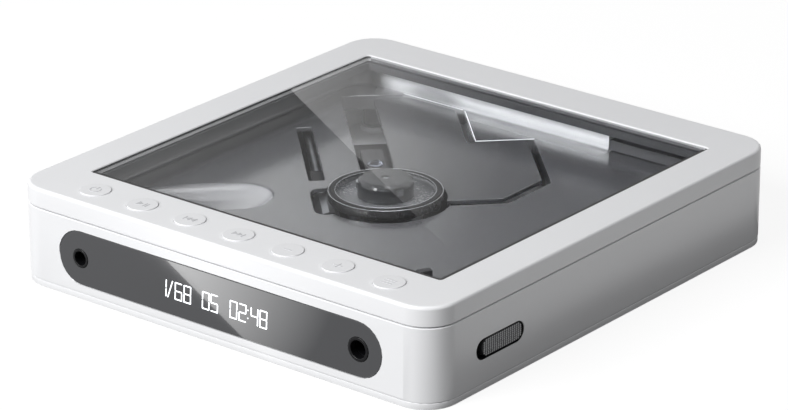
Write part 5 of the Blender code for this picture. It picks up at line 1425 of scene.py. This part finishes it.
@dataclass(frozen=True)
class Glow:
    """Brightness of a card over the pixels of the photograph that show it.

    One side of the line from start to end is brighter by extra, which fades out over reach, away from start.
    Through is what a ray sees that has passed the pane.
    """

    corners: tuple[Flat, Flat]
    start: Flat
    end: Flat
    plain: tuple[Flat, Flat]
    extra: float
    reach: float
    through: tuple[Flat, Flat] | None = None

    def material(self, name: str) -> bpy.types.Material:
        """Makes the card's material.

        Args:
            name: Its name.

        Returns:
            The material.
        """
        material, net, _ = new_material(name)
        net.tree.nodes.remove(net.tree.nodes["Principled BSDF"])
        pixel = net.node("UVMap").outputs["UV"]
        column = net.axes(pixel)["X"]

        def levels(ends: tuple[Flat, Flat]) -> Socket:
            """A value that runs evenly between two columns of the photograph."""
            (near, low), (far, high) = ends
            return net.ramp(column, (near, far), low, high)

        fade = net.ramp(net.vector("DISTANCE", pixel, (*self.start, 0)), (0, self.reach), self.extra, 0)
        run, fall = self.end[0] - self.start[0], self.end[1] - self.start[1]
        beyond = net.math("GREATER_THAN", net.vector("DOT_PRODUCT", pixel, (fall, -run, 0)),
                          fall * self.start[0] - run * self.start[1])
        strength = net.math("MULTIPLY_ADD", beyond, fade, levels(self.plain))
        if self.through:
            passed = net.node("LightPath").outputs["Transmission Depth"]
            strength = net.mixed("FLOAT", passed, strength, levels(self.through))
        glow = net.node("Emission", Strength=strength)
        net.fill(net.tree.nodes["Material Output"].inputs, Surface=glow.outputs[0])
        return material


@dataclass
class Studio:
    """The pale floor, the soft lamps and the camera at the photograph's angle."""

    azimuth: float = math.radians(38.717)
    elevation: float = math.radians(22.63)
    distance: float = 1.0765
    focal_pixels: float = 4112.6
    centre_pixels: Flat = (398.38, 255.29)
    sensor_width: float = 36.0
    target: Vector = field(default_factory=lambda: Vector((0, 0, 0.6 * MM)))
    floor_size: float = 6.0
    card_cells: int = 40
    floor_shade: float = 0.14
    floor_glow: float = 0.88
    sky_light: float = 0.12
    floor_roughness: float = 0.9
    clip: Flat = (0.01, 50.0)
    lit_middle: Vector = field(default_factory=lambda: Vector((0, 0, 0.02)))
    lamps: ClassVar[tuple[tuple[str, Point, Flat, float], ...]] = (
        ("front_left_softbox", (-0.34, -1.3, 0.86), (0.8, 0.6), 31.5),
        ("overhead_softbox", (0.1, 0.0, 1.3), (0.6, 0.6), 2.5),
        ("right_fill", (1.3, 0.1, 1.0), (0.8, 0.8), 4),
    )

    def build(self) -> None:
        """Builds the floor, the cards, the world, the lamps and the camera."""
        self.floor()
        self.cards()
        self.world()
        for name, place, size, power in self.lamps:
            self.lamp(name, Vector(place), size, power)
        self.camera()

    @property
    def back(self) -> Vector:
        """The direction from the player to the camera."""
        return Vector((math.sin(self.azimuth) * math.cos(self.elevation),
                       -math.cos(self.azimuth) * math.cos(self.elevation), math.sin(self.elevation)))

    @staticmethod
    def aimed(name: str, data: bpy.types.ID, place: Vector, way: Vector) -> bpy.types.Object:
        """A camera or lamp that looks along a direction.

        Args:
            name: Its name.
            data: Its data.
            place: Where it stands.
            way: The direction.

        Returns:
            The object.
        """
        holder = linked(name, data)
        holder.location = place
        holder.rotation_mode = "QUATERNION"
        holder.rotation_quaternion = way.to_track_quat("-Z", "Y")
        return holder

    def camera(self) -> None:
        """Places the camera where the photograph was taken from."""
        camera = bpy.data.cameras.new("photo_camera")
        place = self.target + self.back * self.distance
        bpy.context.scene.camera = self.aimed("photo_camera", camera, place, -self.back)
        camera.sensor_width = self.sensor_width
        camera.lens = self.focal_pixels * self.sensor_width / IMAGE_WIDTH
        camera.shift_x = -(self.centre_pixels[0] - IMAGE_WIDTH / 2) / IMAGE_WIDTH
        camera.shift_y = (self.centre_pixels[1] - IMAGE_HEIGHT / 2) / IMAGE_WIDTH
        camera.clip_start, camera.clip_end = self.clip

    def sight(self, pixel: Flat) -> tuple[Vector, Vector]:
        """The camera's place and its line of sight through a pixel of the photograph.

        Args:
            pixel: Column and row in the photograph.

        Returns:
            Where the camera stands and the direction of the line.
        """
        back = self.back
        right = (-back).cross(UP).normalized()
        up = right.cross(-back)
        across = (pixel[0] - self.centre_pixels[0]) / self.focal_pixels
        down = (pixel[1] - self.centre_pixels[1]) / self.focal_pixels
        return self.target + back * self.distance, (right * across - up * down - back).normalized()

    def mirrored(self, pixel: Flat, mirror: Mirror) -> Vector:
        """The point of a card that a pixel shows by way of a mirroring face.

        Args:
            pixel: Column and row in the photograph.
            mirror: The face and the card's plane.

        Returns:
            The point on the card.
        """
        place, way = self.sight(pixel)
        met = place + way * ((mirror.face - place).dot(mirror.normal) / way.dot(mirror.normal))
        thrown = way - 2 * way.dot(mirror.normal) * mirror.normal
        return met + thrown * ((mirror.card - met).dot(mirror.card_normal) / thrown.dot(mirror.card_normal))

    def card(self, name: str, mirror: Mirror, glow: Glow) -> None:
        """A card out of the camera's sight that only mirroring faces show.

        Args:
            name: Its name.
            mirror: The face that mirrors it and the plane that it stands in.
            glow: How bright it is.
        """
        (left, top), (right, bottom) = glow.corners
        cells = self.card_cells
        shares = [i / cells for i in range(cells + 1)]
        pixels = [(left + (right - left) * a, bottom + (top - bottom) * b) for b in shares for a in shares]
        faces = [(i, i + 1, i + cells + 2, i + cells + 1)
                 for row in range(cells) for i in range(row * (cells + 1), row * (cells + 1) + cells)]
        mesh = bpy.data.meshes.new(name)
        mesh.from_pydata([self.mirrored(pixel, mirror) for pixel in pixels], [], faces)
        layer = mesh.uv_layers.new(name="pixels")
        for loop, given in zip(mesh.loops, layer.data):
            given.uv = pixels[loop.vertex_index]
        mesh.materials.append(glow.material(f"{name}_glow"))
        card = linked(name, mesh)
        card.visible_camera = card.visible_diffuse = card.visible_shadow = False

    def cards(self) -> None:
        """The card over the lid that the window shows, and those on the floor for the panel and the right side."""
        window = Mirror(Vector((0, 0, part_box("lid_window")[1].z)), UP,
                        Vector((-0.7, 0.87, 0.5)), Vector((-0.577, 0.72, 0.385)))
        self.card("window_card", window, Glow(
            corners=((-500, -500), (1300, 900)), start=(293, 92), end=(467, 267),
            plain=((150, 0.45), (450, 0.05)), extra=0.85, reach=225, through=((300, 0.95), (520, 0.15))))
        panel = Mirror(Vector((0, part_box("front_panel")[0].y, 0)), Vector((0, -1, 0)), Vector((0, 0, 0.4 * MM)), UP)
        self.card("panel_card", panel, Glow(
            corners=((20, 190), (520, 420)), start=(165, 259), end=(244, 339),
            plain=((60, 0.55), (440, 0.45)), extra=5.0, reach=175))
        side = Mirror(Vector((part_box("bottom_shell")[1].x, 0, 0)), Vector((1, 0, 0)), Vector((0, 0, 0.3 * MM)), UP)
        self.card("side_card", side, Glow(
            corners=((440, 140), (800, 420)), start=(450, 365), end=(755, 214),
            plain=((440, 0.05), (800, 0.05)), extra=1.75, reach=100000))

    def floor(self) -> None:
        """A pale floor that keeps the player's soft shadow."""
        made = bmesh.new()
        bmesh.ops.create_grid(made, x_segments=1, y_segments=1, size=self.floor_size / 2)
        floor = linked("floor", mesh_of("floor", made))
        material, net, skin = new_material("pale_floor")
        net.fill(skin, Base_Color=(self.floor_shade,) * 3, Roughness=self.floor_roughness, Specular_IOR_Level=0.0,
                 Emission_Color=(1, 1, 1), Emission_Strength=self.seen_strength(net, 0.0, self.floor_glow))
        floor.data.materials.append(material)

    @staticmethod
    def seen_strength(net: Net, light: float, seen: float) -> Socket:
        """A strength that differs between light and what is seen directly, mirrored or through glass.

        Args:
            net: The tree of the material or the world.
            light: Strength as light.
            seen: Strength as seen.

        Returns:
            The strength.
        """
        path = net.node("LightPath").outputs
        most = path["Is Camera Ray"]
        for kind in ("Is Glossy Ray", "Is Transmission Ray"):
            most = net.math("MAXIMUM", most, path[kind])
        return net.ramp(most, (0, 1), light, seen)

    def world(self) -> None:
        """An even, plain world: white where it is seen, soft grey as light."""
        world = bpy.data.worlds.new("studio_world")
        bpy.context.scene.world = world
        world.use_nodes = True
        net = Net(world.node_tree)
        net.fill(world.node_tree.nodes["Background"].inputs, Color=(1, 1, 1),
                 Strength=self.seen_strength(net, self.sky_light, 1.0))

    def lamp(self, name: str, place: Vector, size: Flat, power: float) -> None:
        """Adds a soft rectangular lamp that faces the player.

        Args:
            name: Its name.
            place: Where it hangs.
            size: Width and height of its panel.
            power: Its power in watts.
        """
        light = bpy.data.lights.new(name, "AREA")
        light.shape = "RECTANGLE"
        light.size, light.size_y = size
        light.energy = power
        self.aimed(name, light, place, self.lit_middle - place)


def main() -> None:
    logging.basicConfig(level=logging.INFO, format="%(message)s")
    bpy.context.scene.view_settings.view_transform = "Standard"
    for part in (Studio(), Case(), DiscTray(), Lid(), FrontPanel(), OpenSlider(), DiscMechanism()):
        LOG.info("building %s", type(part).__name__)
        part.build()


if __name__ == "__main__":
    main()
